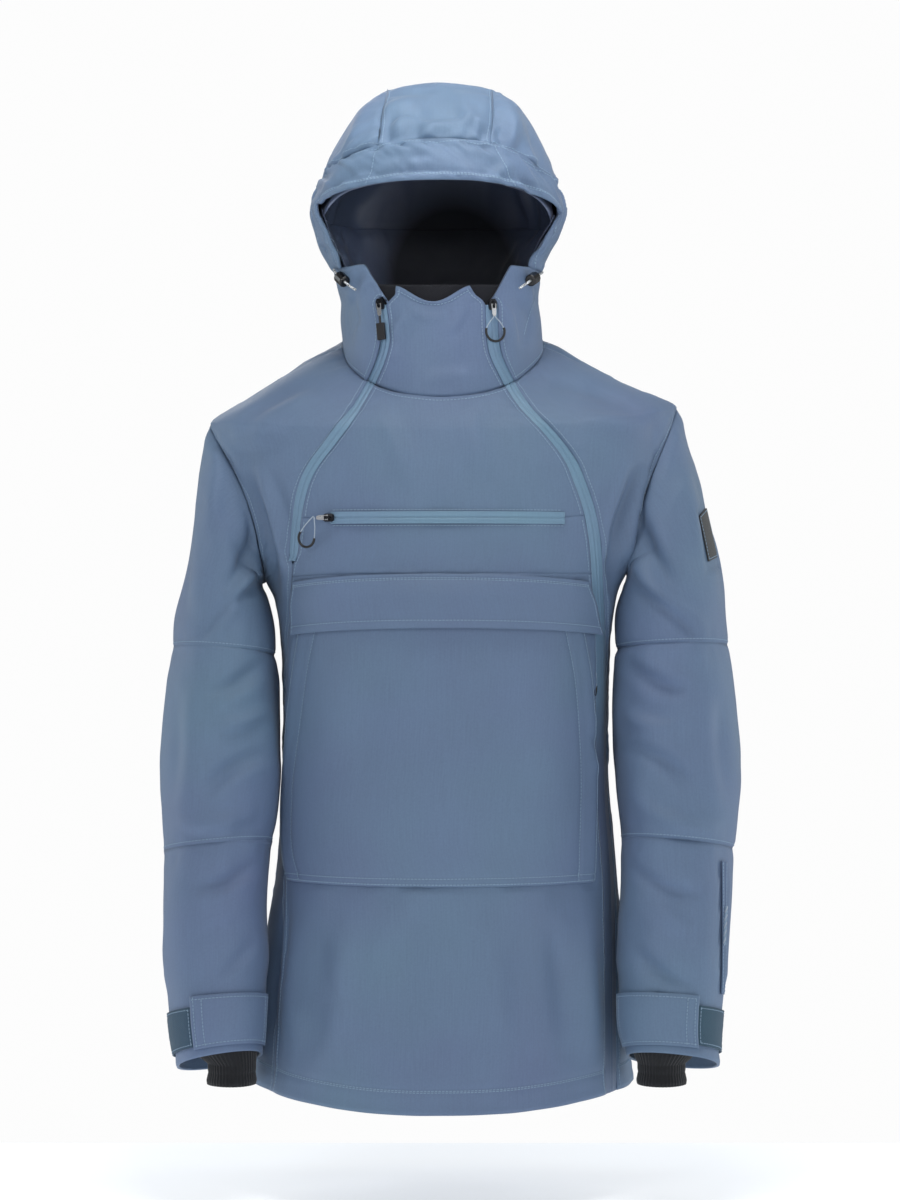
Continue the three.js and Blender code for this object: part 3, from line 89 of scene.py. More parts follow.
# Heights of the named rows of the trunk at its left, right, front and back
TRUNK_STOPS = [
    (-746, -750, -766, -756),
    (-540, -540, -541, -541),
    (-235, -229, -231, -236),
    (-75, -58, -86, -84),
]
NECK_RING = {"left": 98.0, "right": 103.0, "front": 98.0, "back": 78.0, "centre": 0.0}
LEFT_ZIP = [
    [-766, -169],
    [-700, -166],
    [-540, -157],
    [-406, -159],
    [-297, -155],
    [-257, -151],
    [-205, -146],
    [-177, -143],
    [-150, -138],
    [-127, -128.5],
    [-99, -108],
    [-69, -86.5],
    [-35, -68],
    [-14, -59],
    [6, -55],
    [46, -60],
]
RIGHT_ZIP = [
    [-766, 173],
    [-651, 173],
    [-573, 172.5],
    [-530, 171],
    [-457, 165.5],
    [-376, 164.5],
    [-302, 163.5],
    [-265, 161],
    [-203, 156],
    [-169, 150],
    [-140, 140],
    [-118, 130.5],
    [-93, 112],
    [-64, 86],
    [-35, 68.5],
    [-6, 55.5],
    [46, 52],
]
LEFT_TAPE_HALF = 4.5
RIGHT_TAPE_HALF = 6.0
LEFT_ZIP_FOOT = UNDERARM + 3
CHEST_ZIP = {"left": -108, "right": 124, "z": -176, "half": 6}
FLAP = {"top_left": -150, "top_right": 151, "foot_left": -143, "foot_right": 157, "top": -232, "foot": -285}
FLAP_DIP, FLAP_IN, FLAP_OUT, FLAP_ROOT = 7, 1.2, 5.8, 24
POUCH_TOP, POUCH_FOOT, POUCH_LAID, POUCH_ENTRY = -264, -541, 1.4, 3.8
POUCH_EDGES = [
    [-541, -152, 153.5],
    [-505, -156.5, 153.5],
    [-457, -155.5, 153.5],
    [-410, -151.5, 152.5],
    [-338, -145, 148.5],
    [-295, -139, 142.5],
    [-264, -135, 138],
]
COLLAR_TOP = {"left": -44, "right": 30, "left_foot": -47, "right_foot": 43, "point": 58, "dip": 42}
HOOD_TABLE = [
    [36, 97, 97, 93, 80],
    [60, 103, 101, 93, 92],
    [84, 111, 105, 96, 104],
    [104, 121, 113, 102, 112],
    [120, 127, 123, 108, 117],
    [140, 132, 130, 117, 122],
    [160, 128, 124, 127, 124],
    [173, 121, 118, 126, 124],
    [203, 107, 107, 112, 116],
    [226, 94, 96, 96, 103],
    [245, 80, 82, 74, 84],
    [259, 66, 67, 50, 62],
    [267, 50, 51, 30, 42],
    [272, 3, 3, 3, 3],
]
HOOD_ROWS = np.array(
    [
        (5, 5, -54, 31),
        (26, 26, -8, 42),
        (48, 48, 38, 54),
        (80, 78, 80, 76),
        (108, 101, 108, 104),
        (134, 122, 160, 136),
        (151, 137, 181, 156),
        (167, 152, 203, 178),
        (199, 188, 227, 206),
        (227, 220, 246, 232),
        (247, 244, 259, 250),
        (261, 260, 267, 263),
        (272, 272, 272, 272),
    ],
    float,
)
COLLAR_LEVEL, BRIM_LEVEL, BAND_LEVEL, CROWN_LEVEL, POLE_LEVEL = 3, 5, 7, 11, 12
FRONT_RISE = 1.2
BAND_BACK = math.radians(8)
FACE_EDGE = [math.radians(30), math.radians(30), math.radians(24)]
BRIM_START = math.radians(31)
CORNER_FAR, CORNER_NEAR, CORNER_DROP = math.radians(39), math.radians(25.5), 38
STRIP_BACK = 52
STRIP_FRONT = [[154, -69, 48], [194, -62.5, 51], [228, -59, 54], [262, -54, 54]]
CAP_RISE = 5
LINING_GAP, CORNER_GAP = 2.5, 1.6

# Sleeves: place along, outer edge x z, inner edge x z, middle from front to back, half depth, front lift
LEFT_SLEEVE = [
    [0.35, -246.5, -128, -184.5, -244, -6, 71, 0],
    [0.7, -253.5, -188, -176.5, -262, -11, 70, 2],
    [1, -264, -246, -171.5, -285, -17, 67, 4],
    [1.5, -272.5, -306, -169.5, -314, -24, 64, 6],
    [2, -278, -370, -167, -374, -31, 64, 8],
    [2.5, -281.8, -440, -165, -438, -39, 65, 9],
    [3, -280.5, -513, -169.5, -503, -50, 62, 9],
    [3.5, -279.5, -575, -176.5, -566, -62, 57, 9],
    [4, -275, -640, -175, -632, -74, 54, 10],
    [4.5, -269.5, -694, -176.5, -684, -83, 51, 12],
    [5, -263, -727, -179, -713, -88, 48, 13],
]
RIGHT_SLEEVE = [
    [0.35, 260, -118, 191, -239, -6, 72, 0],
    [0.7, 271, -160, 185, -256, -11, 71, 2],
    [1, 284, -222, 182, -276, -17, 68, 4],
    [1.5, 293.8, -304, 181.5, -308, -24, 66, 6],
    [2, 299.8, -370, 178, -372, -31, 66, 8],
    [2.5, 302.6, -440, 180, -438, -40, 67, 9],
    [3, 296.8, -510, 184, -500, -51, 64, 9],
    [3.5, 291.5, -578, 184, -566, -63, 59, 9],
    [4, 287, -640, 181, -632, -74, 56, 10],
    [4.5, 281.5, -690, 181, -684, -83, 53, 12],
    [5, 280, -725, 189, -715, -88, 50, 13],
]
UPPER_SEAM, ELBOW_SEAM, CUFF_END = 1.5, 3.0, 5.0
CUFF_TAB = {"from": 64, "to": 172, "top": 4.2, "foot": 4.86}
HOOK_STRIP = {"from": -42, "to": 63, "top": 4.3, "foot": 4.8}
SLEEVE_PATCH = {"from": 14, "to": 42, "top": 0.72, "foot": 0.96}
POCKET_WELT = {"from": 36, "to": 44, "top": 3.12, "foot": 4.15, "lean": -16}
KNIT_CUFF = {"half": 24, "deep": 28, "inward": 12, "foot": -743, "neck": -722}

# Seats of the hard pieces: origin, across, up and out
SEATS = {
    "left_tab": ((-61.42, -86.8, 40), (0.887, -0.453, 0.0895), (-0.0877, 0.0249, 0.9958),
        (-0.4533, -0.8912, -0.0176)),
    "right_tab": ((54.18, -90, 39.43), (0.9268, 0.371, 0.0578), (-0.0598, -0.0062, 0.9982),
        (0.3707, -0.9286, 0.0164)),
    "chest_loop": (
        (-130.48, -120.29, -189.71),
        (0.825, -0.4176, -0.3808),
        (0.3194, -0.2112, 0.9238),
        (-0.4662, -0.8838, -0.0409),
    ),
    "pouch_left": ((-153.67, -52.88, -349.01), (0.3334, -0.9428, 0), (-0.0054, -0.0019, 1),
        (-0.9428, -0.3334, -0.0058)),
    "pouch_right": ((156.37, -71.41, -342.02), (0.4967, 0.8679, 0), (0.0131, -0.0075, 1),
        (0.8678, -0.4967, -0.0151)),
    "sleeve": ((287.03, -100.85, -563.51), (0.5351, 0.8315, -0.1495), (0.0692, 0.1332, 0.9887),
        (0.842, -0.5394, 0.0137)),
}
LEFT_CORD = [
    (-107.9, -37.7, 79.2),
    (-107.1, -41.6, 77.6),
    (-106.3, -45.4, 76.1),
    (-105.6, -49.3, 74.6),
    (-104.6, -53, 73),
    (-102.8, -56.2, 71),
    (-100.7, -59.2, 68.8),
    (-98.6, -62.1, 66.7),
    (-96.5, -65.1, 64.5),
    (-94.6, -68.2, 62.4),
    (-91.6, -69.7, 60),
    (-88.2, -70.3, 57.6),
    (-84.7, -70.8, 55.3),
]
RIGHT_CORD = [
    (104.9, -23.6, 77.6),
    (103.9, -28.9, 76.4),
    (102.9, -34.3, 75.4),
    (101.9, -39.6, 74.3),
    (100.9, -45, 73.2),
    (99.8, -50.3, 72.1),
    (98.5, -55.6, 70.8),
    (96.2, -60.2, 68.9),
    (93.9, -64.9, 66.9),
    (91.6, -69.6, 65),
    (89.1, -73.8, 62.9),
    (84.6, -74.3, 59.7),
    (80, -74.4, 56.5),
]
HOOD_CORD = 2.6
TAPE_END = 0.03

# Creases seen from the front: start x z, end x z, half width, depth (negative sinks in), sideways bow
TRUNK_CREASES = [
    (-196, -128, -166, -262, 7.6, -5.1, 8),
    (-182, -120, -156, -232, 6, 3.1, 5),
    (-214, -112, -190, -205, 6.8, -3.5, -6),
    (204, -120, 172, -258, 8.5, -5.5, -9),
    (190, -118, 164, -226, 6, 3, -5),
    (222, -104, 200, -196, 6.8, -3.8, 5),
    (-150, -86, -210, -92, 10.2, 3.1, 4),
    (140, -76, 214, -84, 11, 3.4, -4),
    (-120, -40, -196, -76, 8.5, -3, -5),
    (112, -36, 206, -70, 9.3, -3.1, 6),
    (-64, -70, -30, -150, 11.9, 1.9, 6),
    (30, -66, 52, -140, 13.6, 1.9, -5),
    (166, -300, 172, -395, 4.6, -2.2, 3),
    (150, -372, 170, -402, 4.6, 2.4, 2),
    (148, -392, 172, -432, 4.6, -2.8, -2),
    (150, -420, 170, -452, 5.1, 2.1, 2),
    (162, -470, 174, -560, 5.1, -1.9, 2),
    (-158, -300, -163, -400, 5.1, -3.1, -2),
    (-160, -430, -166, -520, 5.1, 1.7, 2),
    (-150, -560, -172, -700, 10.2, -3.9, -6),
    (-96, -566, -112, -720, 15.3, 2.7, 6),
    (-30, -560, -22, -700, 20.4, -2.3, -7),
    (46, -566, 60, -726, 17, 2.6, 5),
    (110, -570, 124, -716, 13.6, -3.4, 5),
    (150, -576, 158, -730, 10.2, 3.4, -4),
    (-178, -590, -184, -720, 6.8, 3.1, 3),
    (-66, -300, -80, -440, 22.1, -2.3, 8),
    (60, -310, 82, -470, 23.8, -2.3, -9),
    (0, -330, 6, -500, 28.9, 1.9, 6),
]
BACK_CREASES = [
    (-190, -130, -120, -250, 10.2, -5.1, 9),
    (190, -126, 124, -246, 11, -5.1, -8),
    (-150, -110, -70, -180, 10.2, 3.4, 6),
    (150, -104, 66, -188, 11, 3.5, -7),
    (-130, -420, 20, -452, 11, -3.2, -9),
    (120, -404, -30, -470, 11.9, 2.7, 8),
    (-90, -480, 80, -500, 10.2, -2.6, 7),
    (-120, -560, -140, -730, 15.3, 3.8, 8),
    (-50, -570, -60, -720, 18.7, -3.5, -6),
    (24, -560, 34, -735, 20.4, 3.5, 7),
    (96, -566, 112, -720, 15.3, -3.9, -7),
    (-160, -300, -168, -420, 8.5, -3.5, 4),
    (160, -300, 170, -430, 8.5, -3.5, -5),
    (-44, -20, -52, -160, 13.6, 2.6, 6),
    (52, -24, 60, -170, 13.6, -2.6, -5),
]
SLEEVE_CREASES = [
    (-178, -158, -214, -250, 7.2, -5.6, 6),
    (-182, -200, -230, -286, 7.2, 4.2, 6),
    (-180, -238, -244, -300, 6.3, -3.8, -5),
    (-226, -104, -238, -196, 9, 3, 5),
    (-252, -160, -258, -280, 8.1, -2.9, -4),
    (-176, -318, -236, -352, 8.1, -4.2, 6),
    (-174, -366, -226, -384, 7.2, 3.4, 5),
    (-172, -410, -238, -452, 8.1, -4.5, -7),
    (-182, -470, -262, -480, 8.1, 3, 6),
    (-264, -340, -270, -470, 9, -2.6, 4),
    (-180, -520, -250, -546, 7.2, -4.2, 6),
    (-186, -560, -262, -590, 8.1, 3.2, -6),
    (-184, -596, -236, -640, 8.1, -3.8, 6),
    (-248, -560, -252, -650, 9, 2.5, -5),
    (-200, -640, -262, -662, 6.3, -3, 4),
    (196, -150, 236, -240, 8.1, -5.3, -7),
    (190, -196, 250, -282, 8.1, 4.2, -6),
    (196, -246, 262, -300, 6.3, -4.2, 5),
    (252, -120, 266, -220, 9, 3, -4),
    (188, -322, 250, -350, 8.1, -4.3, -5),
    (186, -372, 238, -386, 7.2, 3.4, -4),
    (184, -404, 256, -446, 9, -4.5, 7),
    (198, -462, 280, -486, 8.1, 3.2, -6),
    (284, -350, 290, -470, 9, -2.9, -4),
    (190, -522, 262, -552, 7.2, -4.3, -6),
    (192, -566, 250, -588, 8.1, 3.4, 6),
    (190, -604, 254, -644, 8.1, -3.8, -5),
    (206, -646, 262, -660, 6.3, -3, -4),
]
HOOD_CREASES = [
    (-44, -8, -16, 30, 6, -1.8, 5),
    (-30, 34, 8, 26, 5, 1.5, -4),
    (10, 4, 34, 34, 6, -1.8, -5),
    (-20, -40, 30, -34, 8, 1.4, 4),
    (-98, 60, -82, 20, 6, -2.4, -5),
    (-104, 92, -90, 60, 5, 1.8, 4),
    (88, 70, 74, 24, 6, 2.0, 5),
    (104, 96, 92, 66, 5, -2.2, -4),
    (-126, 150, -104, 172, 6, -2.0, 5),
    (-40, 164, -10, 188, 6, -1.8, 5),
    (40, 160, 70, 178, 6, 1.8, -5),
    (-92, 0, -70, 66, 6.4, -3.4, 7),
    (-84, 34, -64, 74, 4.8, 2.6, 4),
    (-100, 84, -112, 122, 5.6, -2.3, -4),
    (84, -2, 66, 52, 6.4, -3.6, -7),
    (96, 10, 82, 66, 4.8, 2.3, -4),
    (100, 50, 104, 80, 4.8, -2.6, 3),
    (-60, -20, -30, 30, 11.2, 1.6, 6),
    (20, -30, 36, 26, 9.6, -1.6, -5),
    (-106, 170, -84, 238, 7.2, -2.6, 7),
    (-88, 186, -66, 250, 7.2, 2.1, 5),
    (100, 172, 78, 240, 7.2, -2.6, -7),
    (70, 190, 66, 250, 8, 2.1, -5),
    (-20, 206, -12, 262, 9.6, -1.7, 4),
    (24, 204, 20, 260, 9.6, 1.6, -4),
    (-118, 142, -60, 172, 4.8, -2.1, 8),
    (112, 132, 56, 168, 4.8, -2.1, -8),
    (-62, 210, -14, 232, 6, -2.4, 9),
    (-36, 224, 34, 226, 6, 2.2, -10),
    (-52, 250, 8, 256, 7, -1.9, 5),
    (12, 232, 62, 208, 6, -2.2, -7),
    (-86, 176, -20, 190, 5, 1.8, 6),
    (20, 190, 76, 172, 5, 1.8, 5),
    (-70, 160, 10, 168, 5, -1.6, 5),
]


class AnorakSettings(bpy.types.PropertyGroup):
    """Sizes and colours of the anorak"""

    shell_colour: FloatVectorProperty(
        name="Shell", description="Colour of the padded cloth", default=(0.118, 0.183, 0.298),
        subtype="COLOR", min=0, max=1
    )
    tape_colour: FloatVectorProperty(
        name="Zip tape", description="Colour of the zip tapes", default=(0.15, 0.26, 0.38),
        subtype="COLOR", min=0, max=1
    )
    lining_colour: FloatVectorProperty(
        name="Lining", description="Colour of the lining", default=(0.108, 0.138, 0.23), subtype="COLOR",
        min=0, max=1
    )
    thread_colour: FloatVectorProperty(
        name="Thread", description="Colour of the sewing thread", default=(0.28, 0.4, 0.54),
        subtype="COLOR", min=0, max=1
    )
    crease_share: FloatProperty(
        name="Creases", description="How deep the creases are, as a share", default=1.8, min=0, max=3
    )
    puff: FloatProperty(
        name="Puff", description="How far padding stands out between seams", default=0.0022,
        unit="LENGTH", min=0, max=0.01
    )
    stitch_pitch: FloatProperty(
        name="Stitch pitch", description="From one stitch to the next", default=0.0036, unit="LENGTH",
        min=0.001, max=0.01
    )


def settings():
    return bpy.context.scene.anorak


def smooth_table(rows, names):
    """Values between the rows of a table follow a smooth curve through all of them."""
    rows = np.array(rows, float)
    keys, last = rows[:, 0], len(rows) - 1
    after = rows[np.minimum(np.arange(last + 1) + 1, last)]
    before = rows[np.maximum(np.arange(last + 1) - 1, 0)]
    slopes = (after - before) / (after[:, :1] - before[:, :1])

    def at(key):
        k = np.clip(key, keys[0], keys[-1])
        i = np.clip(np.searchsorted(keys, k, side="right") - 1, 0, last - 1)
        span = keys[i + 1] - keys[i]
        t = (k - keys[i]) / span
        values = {}
        for c, name in enumerate(names, 1):
            values[name] = (
                rows[i, c] * (1 + 2 * t) * (1 - t) ** 2
                + slopes[i, c] * span * t * (1 - t) ** 2
                + rows[i + 1, c] * t * t * (3 - 2 * t)
                - slopes[i + 1, c] * span * t * t * (1 - t)
            )
        return values

    return at


trunk_at = smooth_table(TRUNK_TABLE, ["left", "right", "front", "back", "centre"])
hood_at = smooth_table(HOOD_TABLE, ["left", "right", "front", "back"])
left_zip = smooth_table(LEFT_ZIP, ["x"])
right_zip = smooth_table(RIGHT_ZIP, ["x"])
pouch_edges = smooth_table(POUCH_EDGES, ["left", "right"])
strip_front = smooth_table(STRIP_FRONT, ["left", "right"])


def trunk_levels():
    levels = []
    for i, rows in enumerate((LOWER_ROWS, WAIST_ROWS, ARM_ROWS)):
        low, high = np.array(TRUNK_STOPS[i], float), np.array(TRUNK_STOPS[i + 1], float)
        for row in range(rows):
            share = row / rows
            if i == 2:
                share = (1 - math.cos(math.pi * share)) / 2
            levels.append(low + (high - low) * share)
    levels.append(np.array(TRUNK_STOPS[3], float))
    return np.array(levels)


TRUNK_LEVELS = trunk_levels()


def rounded(value, squareness):
    return np.sign(value) * np.abs(value) ** (2 / squareness)


def ring_point(angle, z, size, squareness):
    across, ahead = np.cos(angle), np.sin(angle)
    x = rounded(across, squareness) * np.where(across < 0, size["left"], size["right"])
    y = size.get("centre", 0) + rounded(ahead, squareness) * np.where(ahead < 0, size["front"], size["back"])
    return np.stack(np.broadcast_arrays(x, y, z), axis=-1)


def level_height(levels, level, angle, power):
    low = np.clip(np.floor(level).astype(int), 0, len(levels) - 2)
    share = (level - low)[..., None]
    sides = levels[low] * (1 - share) + levels[low + 1] * share
    across, ahead = np.cos(angle), np.sin(angle)
    weight = np.abs(ahead) ** power
    side = sides[..., 0] + (sides[..., 1] - sides[..., 0]) * (1 + across) / 2
    return side + (np.where(ahead < 0, sides[..., 2], sides[..., 3]) - side) * weight


def neck_point(angle):
    ahead = np.sin(angle)
    z = 5 + np.abs(ahead) * np.where(ahead < 0, -59, 26)
    return ring_point(angle, z, NECK_RING, BODY_SQUARENESS)


def trunk_point(angle, z):
    return ring_point(angle, z, trunk_at(z), BODY_SQUARENESS)


def trunk(angle, level):
    """The trunk, rounded over where the shoulders turn in to the neck."""
    angle, level = np.broadcast_arrays(np.asarray(angle, float), np.asarray(level, float))
    near = np.exp(-((level - TIP) ** 2))[..., None]
    steps = np.linspace(-0.9, 0.9, 9)
    soft = sum(trunk_sharp(angle, level + step) for step in steps) / len(steps)
    return mix(trunk_sharp(angle, level), soft, near)


def trunk_sharp(angle, level):
    low = trunk_point(angle, level_height(TRUNK_LEVELS, np.minimum(level, TIP), angle, 2))
    share = np.clip((level - TIP) / SHOULDER_ROWS, 0, 1)[..., None]
    point = low * (1 - share) + neck_point(angle) * share
    rise = np.where(np.cos(angle) < 0, SHOULDER_RISE["left"], SHOULDER_RISE["right"])
    point[..., 2] += rise * np.sin(np.pi * share[..., 0]) * np.cos(angle) ** 2
    return point


def arm_angle(level):
    inside = np.clip((level - UNDERARM) / ARM_ROWS, 0, 1)
    return ARM_HALF_ANGLE * np.sin(np.pi * inside)


def wrap(angle):
    return np.arctan2(np.sin(angle), np.cos(angle))


def hood_ring(angle, level, cut=1):
    from_front = np.abs(wrap(angle + np.pi / 2))
    drop = CORNER_DROP * np.clip((CORNER_FAR - from_front) / (CORNER_FAR - CORNER_NEAR), 0, 1)
    near = np.maximum(0, 1 - np.abs(level - COLLAR_LEVEL))
    z = level_height(HOOD_ROWS, level, angle, FRONT_RISE) - cut * drop * near
    return ring_point(angle, z, hood_at(z), HOOD_SQUARENESS)


def hood(angle, level, cut=1):
    angle, level = np.broadcast_arrays(np.asarray(angle, float), np.asarray(level, float))
    level = np.clip(level, 0, POLE_LEVEL)
    ring = hood_ring(angle, np.maximum(level, 2), cut)
    share = np.clip(level / 2, 0, 1)[..., None]
    return neck_point(angle) * (1 - share) + ring * share


def edge_line(surface, x_at, low, high, first, last):
    """The angle, at each row, where a surface is as far from the middle as asked."""
    levels = np.linspace(first, last, 12 * int(last - first) + 1)
    lows, highs = np.full_like(levels, low), np.full_like(levels, high)

    def miss(angles):
        point = surface(angles, levels)
        return point[..., 0] - x_at(point[..., 2])

    rising = miss(highs) > miss(lows)
    for _ in range(34):
        middle = (lows + highs) / 2
        over = (miss(middle) > 0) == rising
        highs = np.where(over, middle, highs)
        lows = np.where(over, lows, middle)
    found = (lows + highs) / 2
    return lambda level: np.interp(level, levels, found)


def zip_line(surface, zip_at, offset, first, last):
    return edge_line(surface, lambda z: zip_at(z)["x"] + offset, -np.pi, 0, first, last)


def mix(a, b, share):
    return a + (b - a) * share


def ease(value):
    t = np.clip(value, 0, 1)
    return t * t * (3 - 2 * t)


left_left = zip_line(trunk, left_zip, -LEFT_TAPE_HALF, 0, NECK)
left_right = zip_line(trunk, left_zip, LEFT_TAPE_HALF, 0, NECK)
left_seam = zip_line(trunk, left_zip, 0, 0, NECK)
right_left = zip_line(trunk, right_zip, -RIGHT_TAPE_HALF, 0, NECK)
right_right = zip_line(trunk, right_zip, RIGHT_TAPE_HALF, 0, NECK)
collar_ll = zip_line(hood, left_zip, -LEFT_TAPE_HALF, 0, 3)
collar_lr = zip_line(hood, left_zip, LEFT_TAPE_HALF, 0, 3)
collar_rl = zip_line(hood, right_zip, -RIGHT_TAPE_HALF, 0, 3)
collar_rr = zip_line(hood, right_zip, RIGHT_TAPE_HALF, 0, 3)
back_left = edge_line(hood, lambda z: -STRIP_BACK, -1.5 * np.pi, -np.pi, 0, CROWN_LEVEL)
back_right = edge_line(hood, lambda z: STRIP_BACK, 0, np.pi / 2, 0, CROWN_LEVEL)
front_left = edge_line(hood, lambda z: strip_front(z)["left"], -np.pi, -np.pi / 2, BAND_LEVEL, CROWN_LEVEL)
front_right = edge_line(hood, lambda z: strip_front(z)["right"], -np.pi / 2, 0, BAND_LEVEL, CROWN_LEVEL)


def opened(edge):
    """Below its foot the left zip closes up to a plain seam."""
    return lambda level: mix(left_seam(level), edge(level), np.clip(level - LEFT_ZIP_FOOT + 1, 0, 1))


left_panel_edge = opened(left_left)
centre_left_edge = opened(left_right)


class Sleeve:
    """A sleeve by turn (0 outside, a quarter front, a half inside) and place along the arm."""

    def __init__(self, side, rows):
        self.side = side
        self.at = smooth_table(rows, ["out_x", "out_z", "in_x", "in_z", "y", "deep", "lift"])
        self.first = rows[0][0]

    def armhole(self, turn):
        front = turn <= 0.5
        level = np.where(front, TIP - 2 * turn * ARM_ROWS, UNDERARM + (2 * turn - 1) * ARM_ROWS)
        off = arm_angle(level) * np.where(front, 1, -1)
        return trunk(-np.pi + off if self.side < 0 else -off, level)

    def free(self, turn, along):
        size = self.at(along)
        out = rounded(np.cos(2 * np.pi * turn), SLEEVE_SQUARENESS)
        ahead = rounded(np.sin(2 * np.pi * turn), SLEEVE_SQUARENESS)
        x = (size["out_x"] + size["in_x"]) / 2 + (size["out_x"] - size["in_x"]) / 2 * out
        y = size["y"] - size["deep"] * ahead
        z = (
            (size["out_z"] + size["in_z"]) / 2 + (size["out_z"] - size["in_z"]) / 2 * out
            + size["lift"] * ahead
        )
        return np.stack([x, y, z], axis=-1)

    def point(self, turn, along):
        turn, along = np.broadcast_arrays(np.asarray(turn, float) % 1, np.asarray(along, float))
        free = self.free(turn, np.maximum(along, self.first))
        share = np.clip(along / self.first, 0, 1)[..., None]
        return self.armhole(turn) * (1 - share) + free * share


left_sleeve = Sleeve(-1, LEFT_SLEEVE)
right_sleeve = Sleeve(1, RIGHT_SLEEVE)


def soft_noise(points, size, seed):
    """Smooth noise from -1 to 1 over points in millimetres."""
    grid = points / size
    base = np.floor(grid).astype(np.int64)
    part = grid - base
    part = part * part * (3 - 2 * part)
    total = np.zeros(points.shape[:-1])
    for corner in range(8):
        step = np.array([corner & 1, (corner >> 1) & 1, (corner >> 2) & 1])
        cell = base + step
        key = (cell[..., 0] * 374761393 + cell[..., 1] * 668265263 + cell[...,
            2] * 1442695041 + seed * 97531) & 0xFFFFFFFF
        key = ((key ^ (key >> 13)) * 1274126177) & 0xFFFFFFFF
        value = ((key ^ (key >> 16)) & 0xFFFFFFFF) / 2147483648.0 - 1
        total += value * np.prod(np.where(step == 1, part, 1 - part), axis=-1)
    return total


def crease_field(points, creases):
    """Soft troughs and ridges along short bowed lines, seen from the front or the back."""
    x, z = points[..., 0], points[..., 2]
    field = np.zeros(x.shape)
    for x0, z0, x1, z1, width, depth, bow in creases:
        length = math.hypot(x1 - x0, z1 - z0)
        ax, az = (x1 - x0) / length, (z1 - z0) / length
        along = ((x - x0) * ax + (z - z0) * az) / length
        across = -(x - x0) * az + (z - z0) * ax
        inside = np.clip(along, 0, 1)
        across = across - bow * np.sin(np.pi * inside)
        taper = np.sin(np.pi * inside) ** 0.8
        beside = 0.45 * np.exp(-(((across - 1.6 * width) / (1.3 * width)) ** 2))
        field += depth * taper * (np.exp(-((across / width) ** 2)) - beside)
    return field


class Lay:
    """A grid of cloth laid on a surface: its points, outward directions and distances from its four edges."""

    def __init__(self, surface, place, columns, rows, closed=False):
        self.columns, self.rows, self.closed = columns, rows, closed
        self.u, self.v = np.meshgrid(np.linspace(0, 1, columns + 1), np.linspace(0, 1, rows + 1))
        self.points = surface(*place(self.u, self.v))
        self.out = self.directions(self.points)
        along_u = np.linalg.norm(np.diff(self.points, axis=1), axis=-1)
        along_v = np.linalg.norm(np.diff(self.points, axis=0), axis=-1)
        self.left = np.concatenate([np.zeros((rows + 1, 1)), np.cumsum(along_u, axis=1)], axis=1)
        self.foot = np.concatenate([np.zeros((1, columns + 1)), np.cumsum(along_v, axis=0)], axis=0)
        self.right = self.left[:, -1:] - self.left
        self.top = self.foot[-1:, :] - self.foot

    def directions(self, points):
        if self.closed:
            ahead = np.concatenate([points[:, 1:], points[:, 1:2]], axis=1)
            behind = np.concatenate([points[:, -2:-1], points[:, :-1]], axis=1)
            across = ahead - behind
        else:
            across = np.gradient(points, axis=1)
        out = np.cross(across, np.gradient(points, axis=0))
        return out / np.maximum(np.linalg.norm(out, axis=-1, keepdims=True), 1e-9)

    def edge(self, sides):
        distances = [getattr(self, side) for side in sides]
        return np.minimum.reduce(distances) if distances else np.full(self.u.shape, 1e3)

    def column(self, share):
        """Points and directions up the grid at a share of its width."""
        at = int(round(share * self.columns))
        return self.shaped[:, at], self.directions(self.shaped)[:, at]

    def line(self, side, offset):
        """Points and directions along the grid at a distance from one side."""
        points, out = self.shaped, self.directions(self.shaped)
        away = getattr(self, side)
        if side in ("foot", "top"):
            points, out, away = points.swapaxes(0, 1), out.swapaxes(0, 1), away.swapaxes(0, 1)
        if side in ("right", "top"):
            points, out, away = points[:, ::-1], out[:, ::-1], away[:, ::-1]
        index = np.array([np.interp(offset, row, np.arange(len(row))) for row in away])
        low = np.clip(index.astype(int), 0, points.shape[1] - 2)
        part = (index - low)[:, None]
        rows = np.arange(len(points))
        return (
            points[rows, low] * (1 - part) + points[rows, low + 1] * part,
            out[rows, low] * (1 - part) + out[rows, low + 1] * part,
        )


def across_rows(lay, low, high):
    """Points and directions where a slanted line, seen from the front, crosses the rows of a lay."""
    points, out = lay.shaped, lay.directions(lay.shaped)
    found = []
    for row, facing in zip(points, out):
        front = np.flatnonzero(facing[:, 1] < -0.1)
        if len(front) < 2 or not low[1] < row[front, 2].mean() < high[1]:
            continue
        share = (row[front, 2].mean() - low[1]) / (high[1] - low[1])
        order = front[np.argsort(row[front, 0])]
        x = mix(low[0], high[0], share)
        columns = [np.interp(x, row[order, 0], source[order, c]) for source in (row, facing)
            for c in range(3)]
        found.append(columns)
    found = np.array(found)
    return found[:, :3], found[:, 3:]


def seam_puckers(lay, seams, seed):
    """Small gathers that cross each seam and fade out a few millimetres from it."""
    total = np.zeros(lay.u.shape)
    for side in seams:
        away = getattr(lay, side)
        if lay.closed:
            places = lay.points * [1, 1, 0.3]
        else:
            along = lay.foot if side in ("left", "right") else lay.left
            places = np.stack([along, away * 0.3, np.full(away.shape, 7.0)], axis=-1)
        fade = np.exp(-away / 10) * (1 - np.exp(-away / 3))
        total += 1.6 * fade * (soft_noise(places, 8, seed) + 0.5 * soft_noise(places, 4.2, seed + 1))
    return total


